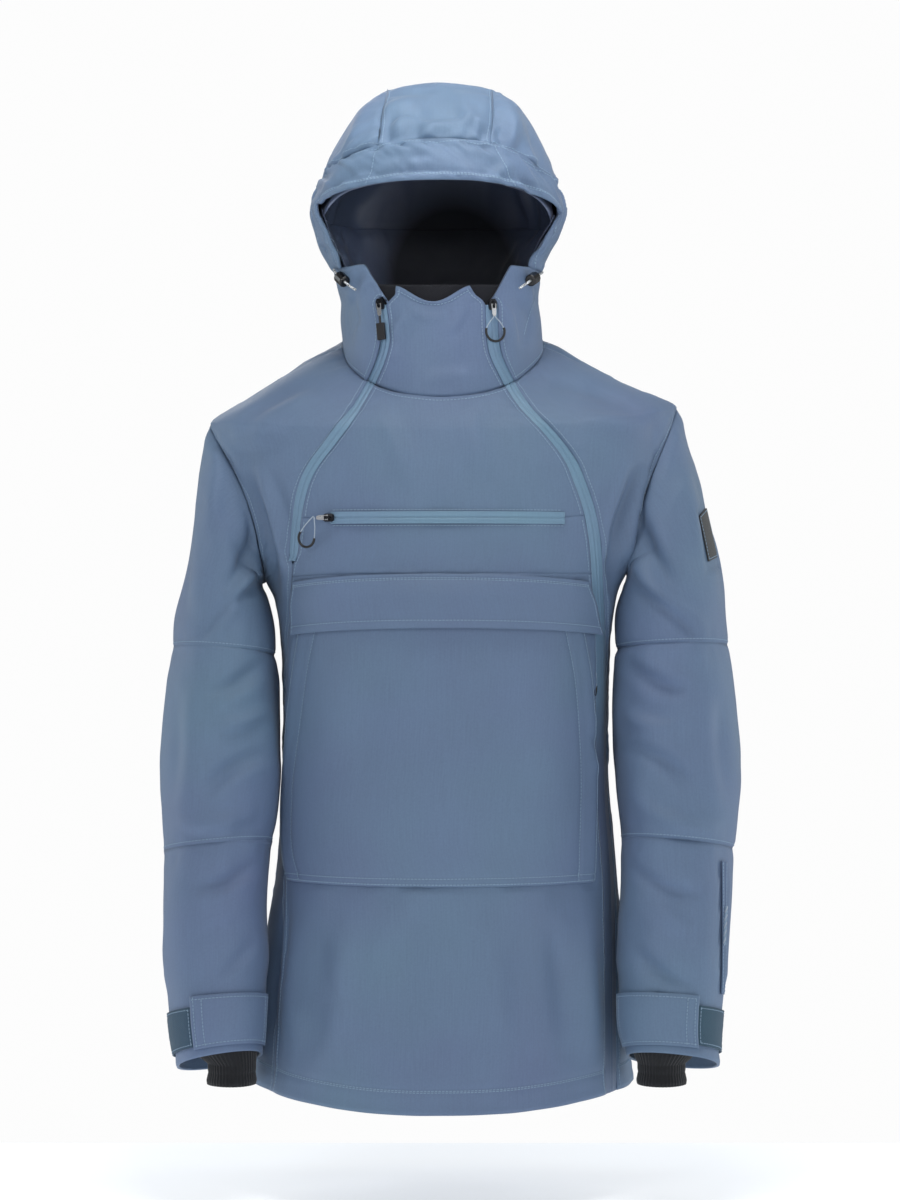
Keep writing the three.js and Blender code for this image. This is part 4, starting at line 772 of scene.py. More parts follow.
def padded_relief(lay, seams, creases=(), back=(), dip=0.35, puff=1.0, wave=1.0, pucker=0.7, seed=1):
    """Padding that stands out between seams, sinks at them, and holds creases."""
    s = settings()
    share = s.crease_share
    away = lay.edge(seams)
    relief = (
        s.puff / MM * puff * (1 - np.exp(-away / 18))
        + pucker * share * seam_puckers(lay, seams, seed + 7)
    )
    relief += wave * share * soft_noise(lay.points * [1, 1, 0.6], 62, 5) * 1.8
    relief += wave * share * soft_noise(lay.points * [1, 1, 0.7], 24, 6) * 1.0
    faces = lay.out[..., 1]
    if creases:
        relief += share * crease_field(lay.points, creases) * np.clip(-faces * 1.8 + 0.2, 0, 1)
    if back:
        relief += share * crease_field(lay.points, back) * np.clip(faces * 1.8 + 0.2, 0, 1)
    relief *= 1 - 0.9 * np.exp(-((away / 4) ** 2))
    relief -= dip * np.exp(-((away / 1.6) ** 2))
    return relief


def mesh_object(name, mesh):
    obj = bpy.data.objects.new(name, mesh)
    bpy.context.scene.collection.objects.link(obj)
    return obj


def finish_piece(obj, material_name, nodes=(), body="root"):
    obj.data.materials.clear()
    obj.data.materials.append(bpy.data.materials[material_name])
    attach(obj, body)
    if nodes:
        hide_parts(*nodes)
    return obj


def cloth_piece(name, lay, relief, thick, material_name):
    """A grid bent onto its lay, moved out by its relief, and given its wall."""
    bm = bmesh.new()
    bmesh.ops.create_grid(bm, x_segments=lay.columns, y_segments=lay.rows, size=0.5)
    mesh = bpy.data.meshes.new(name + "_cloth")
    bm.to_mesh(mesh)
    bm.free()
    flat = np.empty(len(mesh.vertices) * 3)
    mesh.vertices.foreach_get("co", flat)
    flat = flat.reshape(-1, 3)
    i = np.rint((flat[:, 0] + 0.5) * lay.columns).astype(int)
    j = np.rint((flat[:, 1] + 0.5) * lay.rows).astype(int)
    lay.shaped = lay.points + lay.out * relief[..., None]
    if lay.closed:
        lay.shaped[:, -1] = lay.shaped[:, 0]
    mesh.vertices.foreach_set("co", (lay.shaped[j, i] * MM).ravel())
    corner = np.empty(len(mesh.loops), int)
    mesh.loops.foreach_get("vertex_index", corner)
    middle = lay.left - lay.left[:, -1:] / 2
    uv = np.stack([middle[j, i], lay.foot[j, i]], axis=-1)[corner] * MM
    mesh.uv_layers.new(name="UVMap").data.foreach_set("uv", uv.ravel())
    if lay.closed:
        bm = bmesh.new()
        bm.from_mesh(mesh)
        bmesh.ops.remove_doubles(bm, verts=bm.verts, dist=1e-6)
        bm.to_mesh(mesh)
        bm.free()
    mesh.polygons.foreach_set("use_smooth", np.ones(len(mesh.polygons), bool))
    mesh.update()
    obj = mesh_object(name + "_cloth", mesh)
    wall = obj.modifiers.new("wall", "SOLIDIFY")
    wall.thickness = thick * MM
    wall.offset = -1
    finish_piece(obj, material_name, [name])
    steps = np.diff(lay.points, axis=1)[:-1], np.diff(lay.points, axis=0)[:, :-1]
    wide, long = float(lay.left[:, -1].max()) * MM, float(lay.foot[-1].max()) * MM
    wide, long = max(wide, 0.01), max(long, 0.01)
    return obj


STITCHES = []


def sew(line, rows=1, gap=1.6):
    """Keeps a line of points and directions to be sewn, in one row or more."""
    points, out = line
    for row in range(rows):
        along = np.gradient(points, axis=0)
        side = np.cross(along, out)
        side /= np.maximum(np.linalg.norm(side, axis=1, keepdims=True), 1e-9)
        STITCHES.append((points + side * gap * row, out))


def seam_rows(lay, spec):
    for side, offset, rows in spec:
        sew(lay.line(side, offset), rows)


# Materials


def node_group(name, inputs, outputs):
    group = bpy.data.node_groups.new(name, "ShaderNodeTree")
    for label, kind, default in inputs:
        socket = group.interface.new_socket(label, in_out="INPUT", socket_type=kind)
        if default is not None:
            socket.default_value = default
    for label, kind in outputs:
        group.interface.new_socket(label, in_out="OUTPUT", socket_type=kind)
    return group, group.nodes.new("NodeGroupInput"), group.nodes.new("NodeGroupOutput")


def math_node(nodes, links, operation, a, b=None):
    node = nodes.new("ShaderNodeMath")
    node.operation = operation
    for socket, value in zip(node.inputs, (a, b)):
        if value is None:
            continue
        if isinstance(value, (int, float)):
            socket.default_value = value
        else:
            links.new(value, socket)
    return node.outputs[0]


def woven_group():
    """Weave of warp and weft from a piece's own UV map, with uneven yarns and a cloudy shade."""
    group, start, end = node_group(
        "woven_cloth",
        [
            ("UV", "NodeSocketVector", None),
            ("Colour", "NodeSocketColor", (0.5, 0.5, 0.5, 1)),
            ("Yarns", "NodeSocketFloat", 900.0),
            ("Shade", "NodeSocketFloat", 0.08),
        ],
        [("Colour", "NodeSocketColor"), ("Height", "NodeSocketFloat"), ("Mask", "NodeSocketFloat")],
    )
    nodes, links = group.nodes, group.links
    parts = nodes.new("ShaderNodeSeparateXYZ")
    links.new(start.outputs["UV"], parts.inputs[0])
    waves = []
    for axis in (0, 1):
        turn = math_node(nodes, links, "MULTIPLY", parts.outputs[axis], start.outputs["Yarns"])
        waves.append(math_node(nodes, links, "SINE", math_node(nodes, links, "MULTIPLY", turn, 6.2832)))
    weave = math_node(nodes, links, "MULTIPLY", waves[0], waves[1])
    place = nodes.new("ShaderNodeTexCoord")
    cloud = nodes.new("ShaderNodeTexNoise")
    cloud.inputs["Scale"].default_value = 9
    cloud.inputs["Detail"].default_value = 3
    links.new(place.outputs["Object"], cloud.inputs["Vector"])
    speck = nodes.new("ShaderNodeTexNoise")
    speck.inputs["Scale"].default_value = 480
    speck.inputs["Detail"].default_value = 2
    links.new(place.outputs["Object"], speck.inputs["Vector"])
    both = math_node(nodes, links, "ADD", cloud.outputs["Fac"], speck.outputs["Fac"])
    stretch = nodes.new("ShaderNodeVectorMath")
    stretch.operation = "MULTIPLY"
    stretch.inputs[1].default_value = (700, 28, 1)
    links.new(start.outputs["UV"], stretch.inputs[0])
    slub = nodes.new("ShaderNodeTexNoise")
    slub.inputs["Scale"].default_value = 1
    slub.inputs["Detail"].default_value = 2
    links.new(stretch.outputs[0], slub.inputs["Vector"])
    both = math_node(nodes, links, "ADD", both, slub.outputs["Fac"])
    mask = math_node(nodes, links, "SUBTRACT", both, 1.5)
    amount = math_node(nodes, links, "MULTIPLY", mask, start.outputs["Shade"])
    lit = math_node(nodes, links, "ADD", math_node(nodes, links, "MULTIPLY", amount, 4.0), 1.0)
    tint = nodes.new("ShaderNodeVectorMath")
    tint.operation = "SCALE"
    patchy = nodes.new("ShaderNodeTexNoise")
    patchy.inputs["Scale"].default_value = 6
    links.new(place.outputs["Object"], patchy.inputs["Vector"])
    turn = nodes.new("ShaderNodeHueSaturation")
    hue = math_node(nodes, links, "MULTIPLY_ADD", patchy.outputs["Fac"], 0.05)
    hue.node.inputs[2].default_value = 0.475
    links.new(hue, turn.inputs["Hue"])
    links.new(start.outputs["Colour"], turn.inputs["Color"])
    links.new(turn.outputs[0], tint.inputs[0])
    links.new(lit, tint.inputs["Scale"])
    links.new(tint.outputs[0], end.inputs["Colour"])
    height = math_node(nodes, links, "ADD", weave,
        math_node(nodes, links, "MULTIPLY", speck.outputs["Fac"], 1.5))
    links.new(height, end.inputs["Height"])
    links.new(mask, end.inputs["Mask"])
    return group


def cloth_material(name, colour, roughness, sheen, yarns, shade, bump):
    material = bpy.data.materials.new(name)
    material.use_nodes = True
    nodes, links = material.node_tree.nodes, material.node_tree.links
    shader = nodes["Principled BSDF"]
    weave = nodes.new("ShaderNodeGroup")
    weave.node_tree = bpy.data.node_groups.get("woven_cloth") or woven_group()
    weave.inputs["Colour"].default_value = (*colour, 1)
    weave.inputs["Yarns"].default_value = yarns
    weave.inputs["Shade"].default_value = shade
    uv = nodes.new("ShaderNodeUVMap")
    uv.uv_map = "UVMap"
    links.new(uv.outputs[0], weave.inputs["UV"])
    links.new(weave.outputs["Colour"], shader.inputs["Base Color"])
    rough = math_node(nodes, links, "MULTIPLY_ADD", weave.outputs["Mask"], 0.15)
    rough.node.inputs[2].default_value = roughness
    links.new(rough, shader.inputs["Roughness"])
    raised = nodes.new("ShaderNodeBump")
    raised.inputs["Strength"].default_value = bump
    raised.inputs["Distance"].default_value = 0.0002
    links.new(weave.outputs["Height"], raised.inputs["Height"])
    links.new(raised.outputs[0], shader.inputs["Normal"])
    shader.inputs["Sheen Weight"].default_value = sheen
    shader.inputs["Sheen Roughness"].default_value = 0.45
    return material


def paint_hood_shadow(material, centre, size, least, roughness):
    """Painted shade: a cloth's colour falls to its least share inside a soft oval, the shadow deep inside the
    hood.
    """
    nodes, links = material.node_tree.nodes, material.node_tree.links
    shader = nodes["Principled BSDF"]
    coloured = shader.inputs["Base Color"].links[0].from_socket
    place = nodes.new("ShaderNodeTexCoord")
    moved = nodes.new("ShaderNodeVectorMath")
    moved.operation = "SUBTRACT"
    moved.inputs[1].default_value = centre
    scaled = nodes.new("ShaderNodeVectorMath")
    scaled.operation = "DIVIDE"
    scaled.inputs[1].default_value = size
    away = nodes.new("ShaderNodeVectorMath")
    away.operation = "LENGTH"
    fade = nodes.new("ShaderNodeMapRange")
    fade.inputs["From Min"].default_value, fade.inputs["From Max"].default_value = 0.7, 1.3
    fade.inputs["To Min"].default_value, fade.inputs["To Max"].default_value = least, 1
    shade = nodes.new("ShaderNodeVectorMath")
    shade.operation = "SCALE"
    links.new(place.outputs["Object"], moved.inputs[0])
    links.new(moved.outputs[0], scaled.inputs[0])
    links.new(scaled.outputs[0], away.inputs[0])
    links.new(away.outputs["Value"], fade.inputs["Value"])
    links.new(coloured, shade.inputs[0])
    links.new(fade.outputs[0], shade.inputs["Scale"])
    links.new(shade.outputs[0], shader.inputs["Base Color"])
    gloss = math_node(nodes, links, "MULTIPLY_ADD", fade.outputs[0], roughness - 0.85)
    gloss.node.inputs[2].default_value = 0.9
    links.new(gloss, shader.inputs["Roughness"])


# Sockets of a map range node that works on vectors
RANGE_IN, FROM_LOW, FROM_HIGH, TO_LOW, TO_HIGH = range(6, 11)
RANGE_OUT = 1


def paint_shade_along(material, axis, reach, tint):
    """Painted shade: a cloth's colour is darkened by a tint from the second place to the first along an axis.
    """
    nodes, links = material.node_tree.nodes, material.node_tree.links
    shader = nodes["Principled BSDF"]
    coloured = shader.inputs["Base Color"].links[0].from_socket
    place = nodes.new("ShaderNodeTexCoord")
    parts = nodes.new("ShaderNodeSeparateXYZ")
    links.new(place.outputs["Object"], parts.inputs[0])
    fade = nodes.new("ShaderNodeMapRange")
    fade.data_type = "FLOAT_VECTOR"
    fade.inputs[FROM_LOW].default_value = [reach[0]] * 3
    fade.inputs[FROM_HIGH].default_value = [reach[1]] * 3
    fade.inputs[TO_LOW].default_value = tint
    fade.inputs[TO_HIGH].default_value = (1, 1, 1)
    links.new(parts.outputs[axis], fade.inputs[RANGE_IN])
    shade = nodes.new("ShaderNodeVectorMath")
    shade.operation = "MULTIPLY"
    links.new(coloured, shade.inputs[0])
    links.new(fade.outputs[RANGE_OUT], shade.inputs[1])
    links.new(shade.outputs[0], shader.inputs["Base Color"])


def hard_material(name, colour, roughness, metallic, spots=0.0, spot_colour=(0.8, 0.8, 0.8)):
    """Metal, rubber or cord on Object coordinates, with fine grain and, on a flecked cord, pale flecks."""
    material = bpy.data.materials.new(name)
    material.use_nodes = True
    nodes, links = material.node_tree.nodes, material.node_tree.links
    shader = nodes["Principled BSDF"]
    place = nodes.new("ShaderNodeTexCoord")
    grain = nodes.new("ShaderNodeTexNoise")
    grain.inputs["Scale"].default_value = 700
    grain.inputs["Detail"].default_value = 3
    links.new(place.outputs["Object"], grain.inputs["Vector"])
    ramp = nodes.new("ShaderNodeValToRGB")
    dark = tuple(c * 0.75 for c in colour)
    ramp.color_ramp.elements[0].color = (*dark, 1)
    ramp.color_ramp.elements[1].color = (*colour, 1)
    if spots:
        ramp.color_ramp.elements[0].position = 0.5 - spots / 2
        ramp.color_ramp.elements[1].position = 0.55
        ramp.color_ramp.elements[1].color = (*spot_colour, 1)
    links.new(grain.outputs["Fac"], ramp.inputs[0])
    links.new(ramp.outputs[0], shader.inputs["Base Color"])
    rough = math_node(nodes, links, "MULTIPLY_ADD", grain.outputs["Fac"], 0.2)
    rough.node.inputs[2].default_value = roughness - 0.1
    links.new(rough, shader.inputs["Roughness"])
    raised = nodes.new("ShaderNodeBump")
    raised.inputs["Strength"].default_value = 0.15
    raised.inputs["Distance"].default_value = 0.0001
    links.new(grain.outputs["Fac"], raised.inputs["Height"])
    links.new(raised.outputs[0], shader.inputs["Normal"])
    shader.inputs["Metallic"].default_value = metallic
    return material


def make_materials():
    s = settings()
    cloth_material("shell_cloth", s.shell_colour, 0.6, 0.1, 900, 0.05, 0.3)
    tape = cloth_material("tape_cloth", s.tape_colour, 0.5, 0.1, 700, 0.03, 0.3)
    # Painted shade: the zip tape darkens low down, where the arms shade it.
    paint_shade_along(tape, 2, (-0.42, -0.34), (0.68, 0.58, 0.66))
    cloth_material("hook_cloth", (0.045, 0.09, 0.135), 0.95, 0.1, 420, 0.05, 0.8)
    cloth_material("knit_cloth", (0.010, 0.011, 0.014), 0.95, 0.25, 480, 0.08, 0.6)
    satin = cloth_material("satin_cloth", s.lining_colour, 0.3, 0.05, 1100, 0.03, 0.12)
    # Painted shadow: the lining's colour darkens in the deep middle of the hood.
    paint_hood_shadow(satin, (0.014, 0, 0.085), (0.086, 10, 0.1), 0.05, 0.3)
    cloth_material("fleece_cloth", (0.008, 0.009, 0.014), 0.95, 0.3, 360, 0.08, 0.6)
    cloth_material("patch_cloth", (0.035, 0.036, 0.038), 0.6, 0.1, 800, 0.05, 0.5)
    hard_material("thread", s.thread_colour, 0.75, 0.0)
    hard_material("piping", (0.17, 0.25, 0.37), 0.6, 0.0)
    hard_material("pull_cord", (0.42, 0.5, 0.6), 0.7, 0.0)
    hard_material("dark_metal", (0.022, 0.023, 0.027), 0.33, 0.85)
    hard_material("pale_metal", (0.42, 0.43, 0.45), 0.3, 0.9)
    hard_material("black_rubber", (0.012, 0.012, 0.014), 0.45, 0.0)
    hard_material("black_plastic", (0.008, 0.008, 0.009), 0.22, 0.0)
    hard_material("flecked_cord", (0.02, 0.02, 0.024), 0.7, 0.0, 0.25, (0.75, 0.78, 0.8))


# Pieces of cloth


def panel_place(from_level, to_level, from_angle, to_angle):
    def place(u, v):
        level = mix(from_level, to_level, v)
        return mix(from_angle(level), to_angle(level), u), level

    return place


def front_angle(x, z):
    size = trunk_at(z)
    across = (np.abs(x) / np.where(x < 0, size["left"], size["right"])) ** (BODY_SQUARENESS / 2)
    return -np.arccos(np.sign(x) * np.minimum(across, 1))


def front_place(edges, sag=0):
    def place(u, v):
        left, right, z = edges(v)
        angle = mix(front_angle(left, z), front_angle(right, z), u)
        return angle, z - sag * (2 * u - 1) ** 2

    return place


def hem_roll(lay, relief):
    """The turned-up hem: a slim roll, a sewn channel above it, and a soft wave."""
    up = lay.foot
    relief += 1.2 * np.exp(-(((up - 3) / 4) ** 2)) - 1.0 * np.exp(-(((up - 24) / 3.5) ** 2))
    relief += 1.2 * np.exp(-up / 20) * soft_noise(lay.points, 24, 41)
    return relief


def make_trunk():
    pieces = {
        "back_panel": (150, 210, (0, NECK, arm_angle, lambda v: np.pi - arm_angle(v)),
            ("left", "right", "top"), 11),
        "side_front_left": (40, 220, (0, NECK, lambda v: arm_angle(v) - np.pi, left_panel_edge),
            ("left", "right", "top"), 12),
        "side_front_right": (38, 220, (0, NECK, right_right, lambda v: -arm_angle(v)),
            ("left", "right", "top"), 13),
        "front_chest": (96, 56, (CHEST_SEAM, NECK, centre_left_edge, right_left), ("left", "right"), 14),
        "front_chest_pocket": (96, 24, (UNDERARM, CHEST_SEAM, centre_left_edge, right_left),
            ("left", "right", "foot"), 15),
        "front_lower": (108, 170, (0, UNDERARM, left_seam, right_left), ("left", "right", "top"), 16),
    }
    sewn = {
        "back_panel": [("foot", 24, 2), ("top", 5, 1)],
        "side_front_left": [("foot", 24, 2), ("right", 4, 1), ("left", 4.5, 1)],
        "side_front_right": [("foot", 24, 2), ("left", 4, 1), ("right", 4.5, 1)],
        "front_chest": [("left", 4, 1), ("right", 4, 1), ("top", 4.5, 1)],
        "front_chest_pocket": [("left", 4, 1), ("right", 4, 1)],
        "front_lower": [("foot", 24, 2), ("left", 4, 1), ("right", 4, 1)],
    }
    for name, (columns, rows, where, seams, seed) in pieces.items():
        lay = Lay(trunk, panel_place(*where), columns, rows)
        calm = 0.55 if name.startswith("front_chest") else 1.0
        relief = padded_relief(lay, seams, TRUNK_CREASES, BACK_CREASES, seed=seed, wave=calm, puff=calm)
        if name in ("back_panel", "side_front_left", "side_front_right"):
            side = lay.right if name == "side_front_right" else lay.left
            side = np.minimum(lay.left, lay.right) if name == "back_panel" else side
            arm = (
                np.clip((lay.points[..., 2] + 250) / 20, 0, 1)
                * np.clip((-50 - lay.points[..., 2]) / 20, 0, 1)
            )
            relief += arm * 1.3 * np.exp(-(((side - 13) / 8) ** 2))
        if name in ("front_chest", "front_chest_pocket"):
            relief -= 0.8 * np.exp(-(((lay.points[..., 2] + 176) / 14) ** 2)) * (lay.points[..., 0] > -135)
        if name == "front_chest":
            relief -= 0.5 * np.exp(-((lay.top / 1.6) ** 2))
        if name == "front_lower":
            relief = np.where(behind_pouch(lay.points), np.minimum(relief, 0.2), relief)
        if where[0] == 0:
            relief = hem_roll(lay, relief)
        cloth_piece(name, lay, relief, WALL, "shell_cloth")
        seam_rows(lay, sewn[name])


def behind_pouch(points):
    edges = pouch_edges(points[..., 2])
    x, z = points[..., 0], points[..., 2]
    return (z > POUCH_FOOT - 4) & (x > edges["left"] - 3) & (x < edges["right"] + 3)


def make_pockets():
    def flap_edges(v):
        return (
            mix(FLAP["foot_left"], FLAP["top_left"], v),
            mix(FLAP["foot_right"], FLAP["top_right"], v),
            mix(FLAP["foot"], FLAP["top"], v),
        )

    lay = Lay(trunk_point, front_place(flap_edges, FLAP_DIP), 120, 24)
    stand = FLAP_IN + (FLAP_OUT - FLAP_IN) * ease((1 - lay.v) * (FLAP["top"] - FLAP["foot"]) / FLAP_ROOT)
    relief = WALL + stand + 0.5 * soft_noise(lay.points, 34, 5) + 2.4 * np.exp(-((lay.foot / 11) ** 2))
    relief -= 0.9 * np.exp(-(lay.edge(("left", "right")) / 1.8) ** 2)
    relief -= 0.7 * np.exp(-(((lay.foot - 9) / 2) ** 2)) + 0.8 * np.exp(-(((lay.top - 5) / 2.5) ** 2))
    cloth_piece("pocket_flap", lay, relief, WALL, "shell_cloth")
    seam_rows(lay, [("foot", 8, 1), ("top", 4, 2), ("left", 5, 1), ("right", 5, 1)])

    def pouch_sides(v):
        z = mix(POUCH_FOOT, POUCH_TOP, v)
        edges = pouch_edges(z)
        return edges["left"], edges["right"], z

    lay = Lay(trunk_point, front_place(pouch_sides), 124, 104)
    side = ease(1 - np.minimum(lay.u, 1 - lay.u) * 16) * np.sin(np.pi * lay.v)
    base = POUCH_LAID + (POUCH_ENTRY - POUCH_LAID) * side
    away = np.minimum(lay.left, lay.right)
    relief = WALL + base + 0.9 * (1 - np.exp(-lay.foot / 14)) + 0.6 * soft_noise(lay.points, 70, 8)
    relief += (
        0.8 * settings().crease_share * crease_field(lay.points, TRUNK_CREASES)
        * (lay.points[..., 2] > -520)
    )
    relief -= 1.1 * np.exp(-(((away - 25) / 2.2) ** 2)) * (lay.foot > 6)
    relief += 0.9 * np.exp(-(((away - 8) / 7) ** 2)) - 1.2 * np.exp(-(away / 1.6) ** 2)
    relief -= 1.6 * np.exp(-(lay.foot / 2.5) ** 2) + 0.8 * np.exp(-(((lay.foot - 8) / 2.2) ** 2))
    relief += 0.8 * np.exp(-lay.foot / 10) * soft_noise(lay.points * [1, 1, 0.4], 7, 9)
    cloth_piece("front_pouch", lay, relief, WALL, "shell_cloth")
    for side in ("left", "right"):
        points, out = lay.line(side, 0.5)
        piping = tube_mesh(f"pouch_piping_{side}", [tuple(p * MM) for p in points - out * 0.2], 0.8 * MM,
            sides=8)
        finish_piece(piping, "piping")
    seam_rows(lay, [("foot", 2.5, 1), ("foot", 8.5, 1), ("left", 2.2, 1), ("right", 2.2, 1),
        ("left", 25, 1), ("right", 25, 1)])


def tape_relief(lay, base):
    """A coated zip tape: two smooth halves that meet in a thin groove over the hidden teeth."""
    half = lay.left[:, -1:] / 2
    across = (lay.left - half) if lay.left[0, -1] < lay.foot[-1, 0] else (lay.foot - lay.foot[-1:] / 2)
    relief = base + 0.45 * np.exp(-((np.abs(across) - 2.1) / 1.3) ** 2) - 0.7 * np.exp(-((across / 0.6) ** 2))
    return relief


def tape_edge(first, last, side):
    """One edge of a tape that keeps its width where the seams beside it run together."""

    def edge(level):
        a, b = first(level), last(level)
        return (a + b) / 2 + side * np.maximum((b - a) / 2, TAPE_END)

    return edge


def make_zip_tapes():
    left_edge = tape_edge(left_panel_edge, centre_left_edge, -1)
    right_edge = tape_edge(left_panel_edge, centre_left_edge, 1)
    tapes = [
        ("zip_left", trunk, (LEFT_ZIP_FOOT - 0.6, NECK, left_edge, right_edge), 96),
        ("zip_right", trunk, (0, NECK, right_left, right_right), 300),
        ("zip_left_collar", hood, (0, 2, collar_ll, collar_lr), 36),
        ("zip_right_collar", hood, (0, 2, collar_rl, collar_rr), 36),
    ]
    for name, surface, where, rows in tapes:
        lay = Lay(surface, panel_place(*where), 16, rows)
        relief = tape_relief(lay, -0.5)
        if name == "zip_left":
            levels = mix(where[0], where[1], lay.v)
            over = 1 - (centre_left_edge(levels) - left_panel_edge(levels)) / (2 * TAPE_END)
            relief += 2.6 * ease(2 * np.clip(over, 0, 1))
        cloth_piece(name, lay, relief, THIN - 0.6, "tape_cloth")
    lay = Lay(
        trunk_point,
        front_place(lambda v: (CHEST_ZIP["left"], CHEST_ZIP["right"],
            CHEST_ZIP["z"] + CHEST_ZIP["half"] * (2 * v - 1))),
        100,
        18,
    )
    cloth_piece("chest_zip", lay, tape_relief(lay, LAID + 1.2), THIN - 0.6, "tape_cloth")
    for side in ("top", "foot"):
        points, out = lay.line(side, 0)
        shift = 1.8 if side == "top" else -1.8
        sew((points + [0, 0, shift] - out * 0.9, out))


def make_sleeves():
    lengths = [("upper", 0, UPPER_SEAM, 62), ("elbow", UPPER_SEAM, ELBOW_SEAM, 54),
        ("forearm", ELBOW_SEAM, CUFF_END, 60)]
    for label, sleeve in (("left", left_sleeve), ("right", right_sleeve)):
        for seed, (length, start, end, rows) in enumerate(lengths, 20):
            side = sleeve.side

            def place(u, v, start=start, end=end, side=side):
                return (u if side > 0 else 1 - u), mix(start, end, v)

            lay = Lay(sleeve.point, place, 100, rows, closed=True)
            seams = ("foot", "top") if length != "forearm" else ("foot",)
            own = seed + (0 if side < 0 else 9)
            relief = padded_relief(lay, seams, SLEEVE_CREASES, SLEEVE_CREASES, seed=own, puff=1.1)
            if length == "upper":
                relief += 1.4 * np.exp(-(((lay.foot - 14) / 9) ** 2))
            if length == "forearm":
                relief = (
                    np.minimum(relief, 0.3 + 3 * ease((lay.top - 70) / 30))
                    + 0.9 * np.exp(-((lay.top - 3) / 4) ** 2)
                )
                relief -= 0.8 * np.exp(-(((lay.top - 13) / 2.5) ** 2))
            relief = np.where(under_trims(lay, side, mix(start, end, lay.v)), np.minimum(relief, 0.2), relief)
            name = f"sleeve_{length}_{label}"
            cloth_piece(name, lay, relief, WALL, "shell_cloth")
            if length == "upper":
                sew(lay.line("top", 3.5))
            if length == "elbow":
                sew(lay.line("top", 3.5))
            if length == "forearm":
                sew(lay.line("top", 13), 2)


def under_trims(lay, side, along):
    """Where a patch or a pocket welt lies on the right sleeve."""
    degrees = 360 * lay.u
    covered = np.zeros(lay.u.shape, bool)
    for size in (SLEEVE_PATCH, POCKET_WELT) if side > 0 else ():
        down = np.clip((along - size["top"]) / (size["foot"] - size["top"]), 0, 1)
        start = size["from"] + size.get("lean", 0) * down
        across = (degrees > start - 5) & (degrees < start + size["to"] - size["from"] + 5)
        covered |= across & (along > size["top"] - 0.06) & (along < size["foot"] + 0.06)
    return covered


def sleeve_place(sleeve, size):
    def place(u, v):
        along = mix(size["foot"], size["top"], v)
        turn = u if sleeve.side < 0 else 1 - u
        degrees = mix(size["from"], size["to"], turn) + size.get("lean", 0) * (1 - v)
        return degrees / 360, along

    return place


def make_sleeve_trims():
    for label, sleeve in (("left", left_sleeve), ("right", right_sleeve)):
        lay = Lay(sleeve.point, sleeve_place(sleeve, CUFF_TAB), 64, 26)
        edge = lay.edge(("left", "right", "top", "foot"))
        relief = WALL + LAID + 0.9 * (1 - np.exp(-edge / 5)) - 0.6 * np.exp(-(((edge - 3.6) / 1.6) ** 2))
        cloth_piece(f"cuff_tab_{label}", lay, relief + 0.3 * soft_noise(lay.points, 15, 3), WALL,
            "shell_cloth")
        seam_rows(lay, [("left", 3.6, 1), ("right", 3.6, 1), ("top", 3.6, 1), ("foot", 3.6, 1),
            ("left", 12, 1), ("right", 12, 1)])
        lay = Lay(sleeve.point, sleeve_place(sleeve, HOOK_STRIP), 60, 20)
        edge = lay.edge(("left", "right", "top", "foot"))
        fuzz = 0.3 * soft_noise(lay.points, 2.2, 4) * (edge > 3)
        relief = THIN + LAID + fuzz - 0.5 * np.exp(-(((edge - 2.2) / 1.0) ** 2))
        cloth_piece(f"hook_strip_{label}", lay, relief, THIN, "hook_cloth")
        seam_rows(lay, [("left", 2.2, 1), ("right", 2.2, 1), ("top", 2.2, 1), ("foot", 2.2, 1)])
        make_knit_cuff(label, sleeve)
    lay = Lay(right_sleeve.point, sleeve_place(right_sleeve, SLEEVE_PATCH), 30, 24)
    edge = lay.edge(("left", "right", "top", "foot"))
    relief = 1.2 + LAID - 0.35 * np.exp(-(((edge - 1.8) / 0.8) ** 2))
    cloth_piece("sleeve_patch", lay, relief, 1.2, "patch_cloth")
    seam_rows(lay, [("left", 1.8, 1), ("right", 1.8, 1), ("top", 1.8, 1), ("foot", 1.8, 1)])
    lay = Lay(right_sleeve.point, sleeve_place(right_sleeve, POCKET_WELT), 10, 70)
    across = np.abs(lay.left - lay.left[:, -1:] / 2)
    relief = THIN + LAID + 0.6 * np.exp(-(((across - 2) / 1.4) ** 2)) - 0.9 * np.exp(-(across / 0.8) ** 2)
    cloth_piece("sleeve_pocket_welt", lay, relief, THIN, "shell_cloth")
    seam_rows(lay, [("left", 0.8, 1), ("right", 0.8, 1)])


def make_knit_cuff(label, sleeve):
    centre = (sleeve.point(0.0, CUFF_END) + sleeve.point(0.5, CUFF_END)) / 2
    upper = (sleeve.point(0.0, 4.6) + sleeve.point(0.5, 4.6)) / 2

    def surface(turn, along):
        wall = sleeve.point(turn, 4.6)
        reach = wall - upper
        inside = wall - reach / np.linalg.norm(reach, axis=-1, keepdims=True) * (WALL + 1.2)
        angle = 2 * np.pi * turn
        z = mix(KNIT_CUFF["neck"], KNIT_CUFF["foot"], np.clip(2 * along - 1, 0, 1))
        tube = np.stack(
            [
                centre[0] + sleeve.side * (KNIT_CUFF["half"] * np.cos(angle) - KNIT_CUFF["inward"]),
                centre[1] - KNIT_CUFF["deep"] * np.sin(angle),
                z,
            ],
            axis=-1,
        )
        share = ease(np.clip(2 * along, 0, 1))[..., None]
        return inside * (1 - share) + tube * share

    lay = Lay(surface, lambda u, v: ((u if sleeve.side > 0 else 1 - u), v), 176, 44, closed=True)
    ribs = 44
    relief = 0.45 * np.cos(2 * np.pi * ribs * lay.u) + 0.7 * soft_noise(lay.points, 22, 6)
    relief += 0.8 * np.exp(-(((lay.top - 4) / 3) ** 2)) - 0.6 * np.exp(-(((lay.top - 12) / 2) ** 2))
    relief[:, -1] = relief[:, 0]
    cloth_piece(f"knit_cuff_{label}", lay, relief, THIN - 0.5, "knit_cloth")


